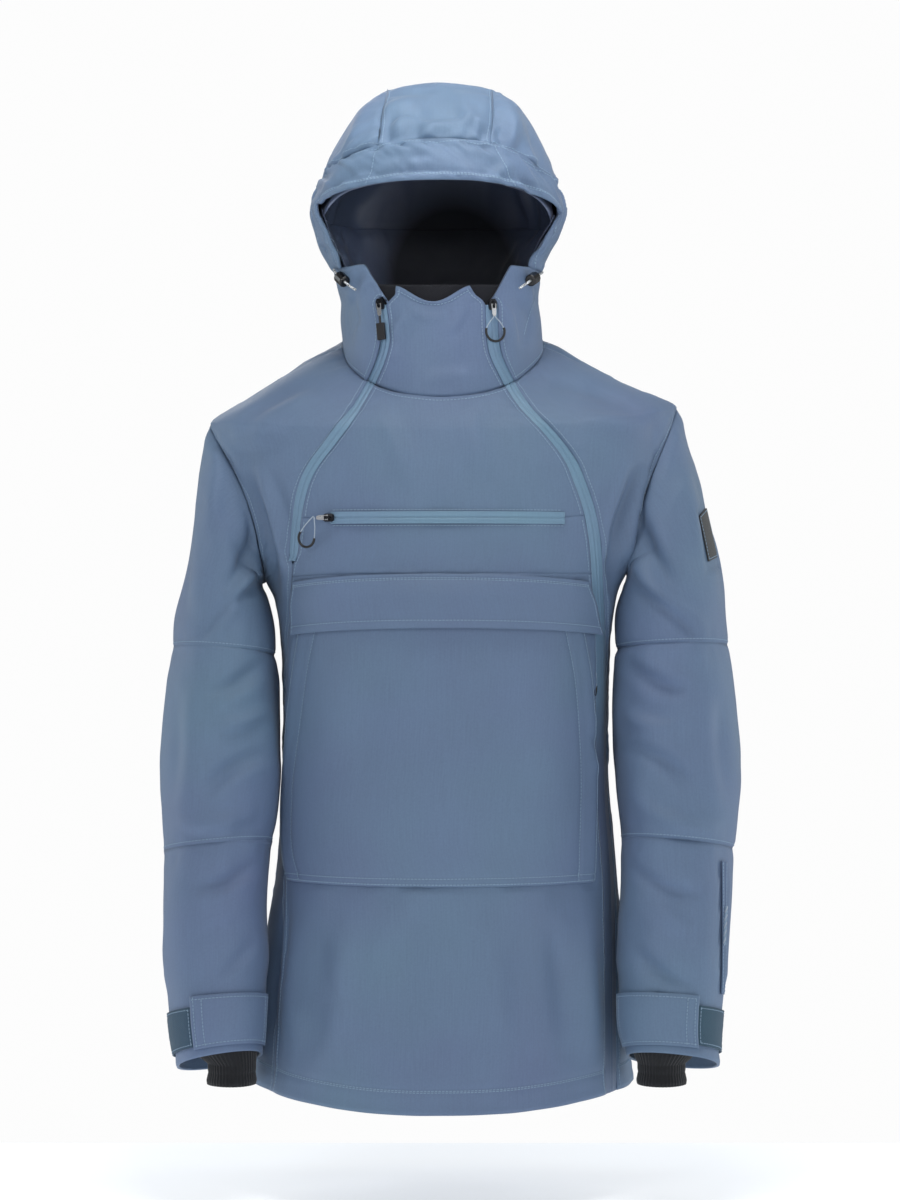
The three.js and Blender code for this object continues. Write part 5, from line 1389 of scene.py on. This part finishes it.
def collar_side(back, seam, front):
    def place(u, v):
        level = COLLAR_LEVEL * v
        station = (u if back(0.0) < seam else 1 - u) * 9
        behind = mix(back(level), seam, station / 4)
        ahead = mix(seam, front(level), (station - 4) / 5)
        return np.where(station < 4, behind, ahead), level

    return place


def crown_place(back, front, seam):
    def place(u, v):
        level = mix(BAND_LEVEL, CROWN_LEVEL, v)
        first, last = back(level), front(level)
        swap = np.mean(first) > np.mean(last)
        first, last = (last, first) if swap else (first, last)
        return np.where(u < 0.5, mix(first, seam, 2 * u), mix(seam, last, 2 * u - 1)), level

    return place


def band_stations():
    left = [(-np.pi + edge, 3 + i, -np.pi + BAND_BACK, 3 + i) for i, edge in enumerate(FACE_EDGE)]
    turn_up = (BRIM_START + FACE_EDGE[2]) / 2
    left.append((-np.pi + turn_up, BRIM_LEVEL, -np.pi + BAND_BACK, BRIM_LEVEL + 1))
    right = [(-np.pi - a, b, -np.pi - c, d) for a, b, c, d in reversed(left)]
    fl, fr = float(front_left(BAND_LEVEL)), float(front_right(BAND_LEVEL))
    outers = [-np.pi + BAND_BACK]
    for start, stop, count in ((-np.pi + BAND_BACK, fl, 4), (fl, fr, 8), (fr, -BAND_BACK, 4)):
        outers += [mix(start, stop, i / count) for i in range(1, count + 1)]
    last = len(outers) - 1
    top = [
        (mix(-np.pi + BRIM_START, -BRIM_START, i / last), BRIM_LEVEL, outer, BAND_LEVEL) for i,
        outer in enumerate(outers)
    ]
    return np.array(left + top + right, float)


def band_place(u, v):
    stations = band_stations()
    position = u * (len(stations) - 1)
    low = np.clip(np.floor(position + 1e-9).astype(int), 0, len(stations) - 2)
    share = (position - low)[..., None]
    row = stations[low] * (1 - share) + stations[low + 1] * share
    return mix(row[..., 0], row[..., 2], v), mix(row[..., 1], row[..., 3], v)


def edge_angle(back, front, seam, t):
    start, end = front(float(CROWN_LEVEL)), back(float(CROWN_LEVEL))
    return np.where(t < 0.5, mix(start, seam, 2 * t), mix(seam, end, 2 * t - 1))


def cap_point(u, w):
    level = float(CROWN_LEVEL)
    u, w = np.broadcast_arrays(u, w)

    def front_at(s):
        return hood(mix(front_left(level), front_right(level), s), level)

    def back_at(s):
        return hood(mix(back_left(level) + 2 * np.pi, back_right(level), s), level)

    left = hood(edge_angle(back_left, front_left, -np.pi + BAND_BACK, w), level)
    right = hood(edge_angle(back_right, front_right, -BAND_BACK, w), level)
    uu, ww = u[..., None], w[..., None]
    corners = mix(mix(front_at(np.array(0.0)), front_at(np.array(1.0)), uu),
        mix(back_at(np.array(0.0)), back_at(np.array(1.0)), uu), ww)
    point = mix(front_at(u), back_at(u), ww) + mix(left, right, uu) - corners
    point[..., 2] += CAP_RISE * np.sin(np.pi * u) * np.sin(np.pi * w)
    return point


BAND_SEAMS = (8 / 24, 16 / 24)  # where the crown's strip goes on down through the band
STRIP_PARTS = (4, 8, 11)  # rows over the front, the crown and the back


def strip_surface(u, row):
    front_rows, cap_rows, back_rows = STRIP_PARTS
    level = BAND_LEVEL + np.clip(row, 0, front_rows)
    front = hood(mix(front_left(level), front_right(level), u), level)
    cap = cap_point(u, np.clip((row - front_rows) / cap_rows, 0, 1))
    level = CROWN_LEVEL - np.clip(row - front_rows - cap_rows, 0, back_rows)
    back = hood(mix(back_left(level) + 2 * np.pi, back_right(level), u), level)
    on_front, on_cap = (row <= front_rows)[..., None], (row < front_rows + cap_rows)[..., None]
    return np.where(on_front, front, np.where(on_cap, cap, back))


def on_hood_front(x, z):
    size = hood_at(z)
    across = (np.abs(x) / np.where(x < 0, size["left"], size["right"])) ** (HOOD_SQUARENESS / 2)
    return ring_point(-np.arccos(np.sign(x) * across), z, size, HOOD_SQUARENESS)


def collar_front_surface(u, row):
    level = np.minimum(row / 2, 2)
    low = hood(mix(collar_lr(level), collar_rl(level), u), level)
    share = np.clip((row - 4) / 3, 0, 1)
    dip = np.sin(np.pi * np.clip(u, 0, 1)) ** 1.5
    top_x = mix(COLLAR_TOP["left"], COLLAR_TOP["right"], u)
    foot_x = mix(COLLAR_TOP["left_foot"], COLLAR_TOP["right_foot"], u)
    x = mix(low[..., 0], mix(foot_x, top_x, share), np.minimum(1, 2 * share))
    high = on_hood_front(x, mix(low[..., 2], mix(COLLAR_TOP["point"], COLLAR_TOP["dip"], dip), share))
    return np.where((row <= 4)[..., None], low, high)


def gathers(lay, side, depth, seed):
    """Small gathers that run in from a seam and fade out."""
    away = getattr(lay, side)
    places = np.stack([lay.left, away * 0.3, np.zeros(away.shape)], axis=-1)
    fine = soft_noise(places, 10, seed) + 0.6 * soft_noise(places, 5, seed + 1)
    return depth * settings().crease_share * np.exp(-away / 15) * (1 - np.exp(-away / 3)) * 1.5 * fine


def make_hood():
    def left_edge_above(level):
        above = mix(collar_ll(2.0), -np.pi / 2 - CORNER_NEAR, level - 2)
        return np.where(level <= 2, collar_ll(level), above)

    def right_edge_above(level):
        above = mix(collar_rr(2.0), -np.pi / 2 + CORNER_NEAR, level - 2)
        return np.where(level <= 2, collar_rr(level), above)

    seam_l, seam_r = -np.pi + BAND_BACK, -BAND_BACK
    pieces = [
        ("collar_side_left", hood, collar_side(back_left, seam_l, left_edge_above), 72, 40,
            ("left", "top"), 31),
        ("collar_side_right", hood, collar_side(back_right, seam_r, right_edge_above), 72, 40,
            ("right", "top"), 32),
        ("hood_side_left", hood, panel_place(3, 7, back_left, lambda v: seam_l + 0 * v), 44, 36,
            ("left", "right", "top", "foot"), 33),
        ("hood_side_right", hood, panel_place(3, 7, lambda v: seam_r + 0 * v, back_right), 44, 36,
            ("left", "right", "top", "foot"), 34),
        ("hood_crown_left", hood, crown_place(back_left, front_left, seam_l), 72, 40,
            ("left", "right", "top", "foot"), 35),
        ("hood_crown_right", hood, crown_place(back_right, front_right, seam_r), 72, 40,
            ("left", "right", "top", "foot"), 36),
        ("hood_band", hood, band_place, 176, 24, ("top",), 37),
        ("hood_centre", strip_surface, lambda u, v: (u, v * sum(STRIP_PARTS)), 36, 184,
            ("left", "right", "foot", "top"), 38),
        ("collar_front", collar_front_surface, lambda u, v: (u, 7 * v), 50, 44, ("left", "right"), 39),
    ]
    sewn = {
        "collar_side_left": [("right", 4, 1), ("foot", 4, 1)],
        "collar_side_right": [("left", 4, 1), ("foot", 4, 1)],
        "hood_crown_left": [("foot", 4, 1)],
        "hood_crown_right": [("foot", 4, 1)],
        "hood_band": [("foot", 7, 2), ("top", 3.5, 1)],
        "hood_centre": [("left", 4, 1), ("right", 4, 1)],
        "collar_front": [("top", 5, 1), ("left", 4, 1), ("right", 4, 1)],
    }
    for name, surface, place, columns, rows, seams, seed in pieces:
        lay = Lay(surface, place, columns, rows)
        lively = 1.15 if name.startswith("hood") else 0.9
        relief = padded_relief(lay, seams, HOOD_CREASES, HOOD_CREASES, seed=seed, puff=lively, wave=0.8,
            pucker=0.8)
        if name == "hood_band":
            roll = 1.4 * np.exp(-(((lay.foot - 3) / 3.5) ** 2)) - 1.0 * np.exp(-(((lay.foot - 9) / 2.2) ** 2))
            relief += roll + gathers(lay, "top", 2.2, 51) + gathers(lay, "foot", 1.2, 52)
            for share in BAND_SEAMS:
                relief -= 0.7 * np.exp(-(((lay.u - share) * lay.left[:, -1:] / 1.6) ** 2))
        if name.startswith("hood_crown") or name == "hood_centre":
            relief += gathers(lay, "foot", 2.6, 53)
        if name.startswith("collar"):
            relief = np.maximum(relief, -1.6)
        if name == "collar_front":
            relief += (
                1.0 * np.exp(-(((lay.top - 2.5) / 3) ** 2))
                - 0.8 * np.exp(-(((lay.top - 6.5) / 2) ** 2))
            )
            relief -= 0.9 * np.exp(-((lay.foot / 1.6) ** 2)) + 0.8
        cloth_piece(name, lay, relief, WALL, "shell_cloth")
        seam_rows(lay, sewn.get(name, []))
        if name == "collar_side_right":
            sew(across_rows(lay, (84, 8), (98, 52)))
        if name == "hood_band":
            for share in BAND_SEAMS:
                sew(lay.column(share + 0.006))


def make_linings():
    def place(u, v):
        level = mix(COLLAR_LEVEL - 0.6, BRIM_LEVEL + 0.1, v) - 0.2 * v**8
        edge = mix(FACE_EDGE[0], FACE_EDGE[2], v) - 0.02
        return mix(-edge, np.pi + edge, u), level

    lay = Lay(hood, place, 150, 30)
    fold = 1 - 2 * np.abs(soft_noise(lay.points * [1, 1, 0.3], 26, 61)) + 0.3 * soft_noise(lay.points, 11, 64)
    away = np.minimum(lay.left, lay.right)
    relief = -WALL - CORNER_GAP - LINING_GAP * ease(6 * np.minimum(lay.u, 1 - lay.u))
    relief -= 4.2 * (0.5 + fold) * np.clip(away / 20, 0, 1)
    cloth_piece("hood_lining", lay, relief, THIN - 1.4, "satin_cloth")

    centre = np.array([0.0, 0.0, 120.0])

    def crown(turn, share):
        behind = np.clip((np.sin(2 * np.pi * turn) + 0.75) / 0.5, 0, 1)
        level = mix(BRIM_LEVEL + 0.1 - 0.5 * behind, POLE_LEVEL, share)
        point = hood(2 * np.pi * turn, level)
        point = np.where((share >= 1)[..., None], np.array([0.0, 0.0, 272.0]), point)
        inward = centre - point
        inward /= np.linalg.norm(inward, axis=-1, keepdims=True)
        gap = WALL + CORNER_GAP + LINING_GAP * ease(3 * share)
        return point + inward * (gap * 1.3)[..., None]

    lay = Lay(crown, lambda u, v: (u, v * 0.985), 150, 50, closed=True)
    fold = 1 - 2 * np.abs(soft_noise(lay.points * [1, 1, 0.3], 24, 62))
    relief = -4.4 * (0.5 + fold) * np.clip(lay.foot / 20, 0, 1) * np.clip(lay.top / 60, 0, 1)
    relief[:, -1] = relief[:, 0]
    cloth_piece("hood_lining_crown", lay, relief, THIN - 1.4, "satin_cloth")
    close_tip(bpy.data.objects["hood_lining_crown_cloth"])

    def collar(turn, along):
        angle = -2 * np.pi * turn
        level = mix(2.5, 0.5, along)
        return hood(angle, level, 0)

    lay = Lay(collar, lambda u, v: (u, v), 150, 32, closed=True)
    relief = -(WALL + 3.4) + 0.8 * soft_noise(lay.points * [1, 1, 0.5], 18, 63)
    relief[:, -1] = relief[:, 0]
    cloth_piece("inner_collar", lay, relief, THIN - 0.5, "fleece_cloth")


def close_tip(obj):
    """Fills the small hole that is left at the crown."""
    bm = bmesh.new()
    bm.from_mesh(obj.data)
    top = max(v.co.z for v in bm.verts)
    edges = [e for e in bm.edges if e.is_boundary and min(v.co.z for v in e.verts) > top - 0.006]
    bmesh.ops.holes_fill(bm, edges=edges, sides=0)
    bm.to_mesh(obj.data)
    bm.free()


# Sewing


def make_stitches():
    """Every sewn line as small box-shaped stitches, a few lines to a piece."""
    pitch = settings().stitch_pitch / MM
    bm = bmesh.new()
    for points, out in STITCHES:
        steps = np.linalg.norm(np.diff(points, axis=0), axis=1)
        run = np.concatenate([[0], np.cumsum(steps)])
        if run[-1] < 2 * pitch:
            continue
        for middle in np.arange(pitch, run[-1] - pitch * 0.6, pitch):
            a, b, o = (
                np.array([np.interp(s, run, source[:, c]) for c in range(3)])
                for s, source in ((middle - 1.1, points), (middle + 1.1, points), (middle, out))
            )
            along = Vector(b - a).normalized()
            up = Vector(o).normalized()
            across = up.cross(along).normalized()
            up = along.cross(across)
            spot = Vector((a + b) / 2) + up * 0.1
            matrix = Matrix((
                (along.x * 2.5, across.x * 0.7, up.x * 0.6, spot.x),
                (along.y * 2.5, across.y * 0.7, up.y * 0.6, spot.y),
                (along.z * 2.5, across.z * 0.7, up.z * 0.6, spot.z),
                (0, 0, 0, 1),
            ))
            bmesh.ops.create_cube(bm, size=1, matrix=Matrix.Scale(MM, 4) @ matrix)
    mesh = bpy.data.meshes.new("stitches")
    bm.to_mesh(mesh)
    bm.free()
    finish_piece(mesh_object("stitches", mesh), "thread")


# Hard pieces and cords


def refined(node, material_name, body="root", bevel=0.3):
    """The solid's own shape with its edges rounded."""
    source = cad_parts[node]
    bm = bmesh.new()
    bm.from_mesh(source.data)
    bmesh.ops.remove_doubles(bm, verts=bm.verts, dist=2e-6)
    flat = [e for e in bm.edges if len(e.link_faces) == 2 and e.calc_face_angle(0) < 0.02]
    bmesh.ops.dissolve_edges(bm, edges=flat, use_verts=True)
    mesh = bpy.data.meshes.new(node + "_shape")
    bm.to_mesh(mesh)
    bm.free()
    obj = mesh_object(node + "_shape", mesh)
    if bevel:
        rounding = obj.modifiers.new("rounding", "BEVEL")
        rounding.width = bevel * MM
        rounding.segments = 2
        rounding.limit_method = "ANGLE"
        rounding.angle_limit = math.radians(35)
    return finish_piece(obj, material_name, [node], body)


def tube_mesh(name, points, radius, closed=False, sides=10):
    """A round cord along points, in metres, as a mesh."""
    curve = bpy.data.curves.new(name, "CURVE")
    curve.dimensions = "3D"
    spline = curve.splines.new("POLY")
    spline.points.add(len(points) - 1)
    for spot, point in zip(spline.points, points):
        spot.co = (*point, 1)
    spline.use_cyclic_u = closed
    curve.bevel_depth = radius
    curve.bevel_resolution = max(1, (sides - 4) // 2)
    curve.use_fill_caps = not closed
    guide = mesh_object(name + "_guide", curve)
    mesh = bpy.data.meshes.new_from_object(guide.evaluated_get(bpy.context.evaluated_depsgraph_get()))
    mesh.name = name
    bpy.data.objects.remove(guide)
    mesh.polygons.foreach_set("use_smooth", np.ones(len(mesh.polygons), bool))
    return mesh_object(name, mesh)


def seated(seat, points):
    origin, across, up, out = (np.array(v, float) for v in SEATS[seat])
    return [tuple((origin + across * x + up * y + out * z) * MM) for x, y, z in points]


def teardrop(top, wide, long, part):
    """Places on a teardrop that hangs from its top: its two straight sides, or the arc at its foot."""
    radius = wide
    centre = top - long + radius
    if part == "arc":
        turns = np.linspace(math.radians(-200), math.radians(20), 26)
        return [(radius * math.cos(t), centre + radius * math.sin(t), 0) for t in turns]
    side = 1 if part == "right" else -1
    t = math.radians(18)
    end = (side * radius * math.cos(t), centre + radius * math.sin(t), 0)
    start = (side * 0.5, top, 0)
    bow = [(0.0, 0.0), (0.25, 0.5), (0.5, 0.9), (0.75, 0.6), (1.0, 0.0)]
    return [(mix(start[0], end[0], s) + side * b, mix(start[1], end[1], s), 0) for s, b in bow]


def make_loop(label, seat, node, body, top, wide, long):
    arc = tube_mesh(f"{label}_arc", seated(seat, teardrop(top, wide, long, "arc")), 1.25 * MM)
    finish_piece(arc, "black_rubber", [node], body)
    for side in ("left", "right"):
        line = tube_mesh(f"{label}_cord_{side}", seated(seat, teardrop(top, wide, long, side)), 0.55 * MM,
            sides=8)
        finish_piece(line, "pull_cord", body=body)


def make_zip_pulls():
    for label in ("left", "right", "chest"):
        refined(f"slider_{label}", "dark_metal", bevel=0.35)
        refined(f"pull_{label}_tab", "pale_metal", f"pull_{label}", bevel=0.2)
    refined("pull_left_end", "black_rubber", "pull_left", bevel=0.55)
    make_loop("pull_right", "right_tab", "pull_right_loop", "pull_right", -12.3, 10, 25)
    make_loop("pull_chest", "chest_loop", "pull_chest_loop", "pull_chest", 16.4, 9, 32)
    for label, seat in (("left", "pouch_left"), ("right", "pouch_right")):
        make_pouch_loop(label, seat)
    twist = []
    for step in range(61):
        turn = 2 * math.pi * 5 * step / 60
        twist.append((0.7 * math.cos(turn), -0.6 - 38.6 * step / 60, 0.7 * math.sin(turn)))
    other = [(-x, y, -z) for x, y, z in twist]
    for label, run in (("first", twist), ("second", other)):
        strand = tube_mesh(f"sleeve_puller_{label}_strand", seated("sleeve", run), 0.8 * MM, sides=8)
        finish_piece(strand, "pull_cord" if label == "first" else "thread", body="sleeve_pull")
    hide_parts("sleeve_puller")


def make_pouch_loop(label, seat):
    turns = np.linspace(0, 2 * math.pi, 33)[:-1]
    ring = [(3.6 * math.cos(t), 11.9 * math.sin(t), 0) for t in turns]
    loop = tube_mesh(f"pouch_pull_{label}_cord", seated(seat, ring), 0.7 * MM, closed=True, sides=8)
    finish_piece(loop, "pull_cord", [f"pouch_loop_{label}"], f"pouch_pull_{label}")
    low = [(3.6 * math.cos(t), 11.9 * math.sin(t), 0)
        for t in np.linspace(math.radians(-150), math.radians(-10), 16)]
    arc = tube_mesh(f"pouch_pull_{label}_arc", seated(seat, low), 1.15 * MM)
    finish_piece(arc, "black_rubber", body=f"pouch_pull_{label}")


def make_drawstrings():
    for label, path in (("left", LEFT_CORD), ("right", RIGHT_CORD)):
        points = [tuple(c * MM for c in point) for point in path]
        cord = tube_mesh(f"drawstring_{label}", points, HOOD_CORD / 2 * MM)
        finish_piece(cord, "flecked_cord", [f"hood_cord_{label}"])
        lock = refined(f"cord_lock_{label}", "black_plastic", bevel=0.5)
        length = sum(math.dist(a, b) for a, b in zip(points, points[1:]))
        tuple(points[0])


# Stage


def area_light(name, place, aim, size, power, colour=(1, 1, 1)):
    data = bpy.data.lights.new(name, "AREA")
    data.shape = "RECTANGLE"
    data.size, data.size_y = size
    data.energy = power
    data.color = colour
    light = mesh_object(name, data)
    light.visible_camera = False
    light.location = place
    light.rotation_euler = (Vector(aim) - Vector(place)).to_track_quat("-Z", "Y").to_euler()
    return light


def make_stage():
    bm = bmesh.new()
    bmesh.ops.create_grid(bm, x_segments=4, y_segments=4, size=1)
    bmesh.ops.scale(bm, vec=(6, 2.0, 1), verts=bm.verts)
    bmesh.ops.translate(bm, vec=(0, -1.73, -0.86), verts=bm.verts)
    mesh = bpy.data.meshes.new("floor")
    bm.to_mesh(mesh)
    bm.free()
    floor = mesh_object("floor", mesh)
    material = bpy.data.materials.new("pale_floor")
    material.use_nodes = True
    nodes, links = material.node_tree.nodes, material.node_tree.links
    shader = nodes["Principled BSDF"]
    place = nodes.new("ShaderNodeTexCoord")
    cloud = nodes.new("ShaderNodeTexNoise")
    cloud.inputs["Scale"].default_value = 2
    links.new(place.outputs["Object"], cloud.inputs["Vector"])
    ramp = nodes.new("ShaderNodeValToRGB")
    ramp.color_ramp.elements[0].color = (0.86, 0.88, 0.9, 1)
    ramp.color_ramp.elements[1].color = (0.9, 0.915, 0.93, 1)
    links.new(cloud.outputs["Fac"], ramp.inputs[0])
    links.new(ramp.outputs[0], shader.inputs["Base Color"])
    shader.inputs["Roughness"].default_value = 0.9
    shader.inputs["Emission Color"].default_value = (0.93, 0.96, 1, 1)
    shader.inputs["Emission Strength"].default_value = 0.5
    floor.data.materials.append(material)

    world = bpy.data.worlds.new("studio")
    bpy.context.scene.world = world
    world.use_nodes = True
    nodes, links = world.node_tree.nodes, world.node_tree.links
    seen = nodes.new("ShaderNodeLightPath")
    brightness = nodes.new("ShaderNodeMath")
    brightness.operation = "MULTIPLY_ADD"
    brightness.inputs[1].default_value = BACKDROP_SEEN - BACKDROP_LIT
    brightness.inputs[2].default_value = BACKDROP_LIT
    links.new(seen.outputs["Is Camera Ray"], brightness.inputs[0])
    links.new(brightness.outputs[0], nodes["Background"].inputs["Strength"])
    nodes["Background"].inputs["Color"].default_value = (1, 1, 1, 1)
    bpy.context.scene.view_settings.view_transform = "Standard"
    area_light("top_softbox", (0.05, -0.35, 0.85), (0, 0, 0.2), (0.5, 0.5), 6.4)
    area_light("left_softbox", (-1.7, -2.6, 0.9), (0, 0, -0.3), (0.8, 0.9), 12.5)
    area_light("right_softbox", (1.8, -2.4, 0.2), (0, 0, -0.3), (0.9, 1.2), 10)
    area_light("low_front_softbox", (0.1, -3.2, 0.1), (0, 0, 0), (0.8, 0.5), 5.6)
    hood_light = area_light("hood_softbox", (0.1, -1.7, 0.5), (0, -0.08, 0.25), (0.6, 0.4), 0.2)
    hood_light.data.spread = math.radians(16)
    area_light("left_rim", (-1.8, 0.5, -0.1), (0, 0, -0.35), (0.8, 1.6), 10, (0.9, 0.97, 1))
    area_light("back_softbox", (-0.6, 3.2, 1.3), (0, 0, -0.3), (1.4, 1.2), 26)
    area_light("right_rim", (1.8, 0.5, -0.1), (0, 0, -0.35), (0.8, 1.6), 10, (0.9, 0.97, 1))


def make_camera():
    data = bpy.data.cameras.new("front_camera")
    data.lens = 101.94
    data.sensor_width = 36
    data.clip_end = 50
    camera = mesh_object("front_camera", data)
    camera.location = (0.0103, -3.5, -0.2575)
    camera.rotation_euler = (math.pi / 2, 0, 0)
    bpy.context.scene.camera = camera


# Operators


class ANORAK_OT_stage(bpy.types.Operator):
    """Makes the camera, the pale floor, the studio light and the materials"""

    bl_idname = "anorak.stage"
    bl_label = "Stage"

    def execute(self, context):
        make_camera()
        make_materials()
        make_stage()
        return {"FINISHED"}


class ANORAK_OT_drawstring(bpy.types.Operator):
    """Makes the two free ends of the drawstring and their cord locks"""

    bl_idname = "anorak.drawstring"
    bl_label = "Drawstring"

    def execute(self, context):
        make_drawstrings()
        return {"FINISHED"}


class ANORAK_OT_trunk(bpy.types.Operator):
    """Makes the padded panels of the trunk"""

    bl_idname = "anorak.trunk"
    bl_label = "Trunk panels"

    def execute(self, context):
        make_trunk()
        return {"FINISHED"}


class ANORAK_OT_pockets(bpy.types.Operator):
    """Makes the front pouch and the flap over it"""

    bl_idname = "anorak.pockets"
    bl_label = "Pouch and flap"

    def execute(self, context):
        make_pockets()
        return {"FINISHED"}


class ANORAK_OT_zip_tapes(bpy.types.Operator):
    """Makes the tapes of the slanting zips and the chest zip"""

    bl_idname = "anorak.zip_tapes"
    bl_label = "Zip tapes"

    def execute(self, context):
        make_zip_tapes()
        return {"FINISHED"}


class ANORAK_OT_sleeves(bpy.types.Operator):
    """Makes the three lengths of each sleeve"""

    bl_idname = "anorak.sleeves"
    bl_label = "Sleeves"

    def execute(self, context):
        make_sleeves()
        return {"FINISHED"}


class ANORAK_OT_sleeve_trims(bpy.types.Operator):
    """Makes the cuff tabs, hook strips, knit cuffs, patch and pocket welt"""

    bl_idname = "anorak.sleeve_trims"
    bl_label = "Sleeve trims"

    def execute(self, context):
        make_sleeve_trims()
        return {"FINISHED"}


class ANORAK_OT_hood(bpy.types.Operator):
    """Makes the collar, the hood's panels and the band round the face"""

    bl_idname = "anorak.hood"
    bl_label = "Collar and hood"

    def execute(self, context):
        make_hood()
        return {"FINISHED"}


class ANORAK_OT_linings(bpy.types.Operator):
    """Makes the hood's lining and the inner collar"""

    bl_idname = "anorak.linings"
    bl_label = "Linings"

    def execute(self, context):
        make_linings()
        return {"FINISHED"}


class ANORAK_OT_zip_pulls(bpy.types.Operator):
    """Makes the sliders, tabs and pull loops"""

    bl_idname = "anorak.zip_pulls"
    bl_label = "Zip pulls"

    def execute(self, context):
        make_zip_pulls()
        return {"FINISHED"}


class ANORAK_OT_stitches(bpy.types.Operator):
    """Sews the lines that the cloth pieces have laid out"""

    bl_idname = "anorak.stitches"
    bl_label = "Stitches"

    def execute(self, context):
        make_stitches()
        return {"FINISHED"}


STEPS = (
    ANORAK_OT_stage,
    ANORAK_OT_drawstring,
    ANORAK_OT_trunk,
    ANORAK_OT_pockets,
    ANORAK_OT_zip_tapes,
    ANORAK_OT_sleeves,
    ANORAK_OT_sleeve_trims,
    ANORAK_OT_hood,
    ANORAK_OT_linings,
    ANORAK_OT_zip_pulls,
    ANORAK_OT_stitches,
)


class ANORAK_PT_panel(bpy.types.Panel):
    """Lists the anorak's sizes, colours and steps"""

    bl_idname = "ANORAK_PT_panel"
    bl_label = "Anorak"
    bl_space_type = "VIEW_3D"
    bl_region_type = "UI"
    bl_category = "Anorak"

    def draw(self, context):
        for name in AnorakSettings.__annotations__:
            self.layout.prop(context.scene.anorak, name)
        for step in STEPS:
            self.layout.operator(step.bl_idname)


CLASSES = (AnorakSettings, *STEPS, ANORAK_PT_panel)


def register():
    for cls in CLASSES:
        bpy.utils.register_class(cls)
    bpy.types.Scene.anorak = PointerProperty(type=AnorakSettings)


def unregister():
    del bpy.types.Scene.anorak
    for cls in reversed(CLASSES):
        bpy.utils.unregister_class(cls)


def main():
    register()
    for step in STEPS:
        group, name = step.bl_idname.split(".")
        getattr(getattr(bpy.ops, group), name)()


if __name__ == "__main__":
    main()
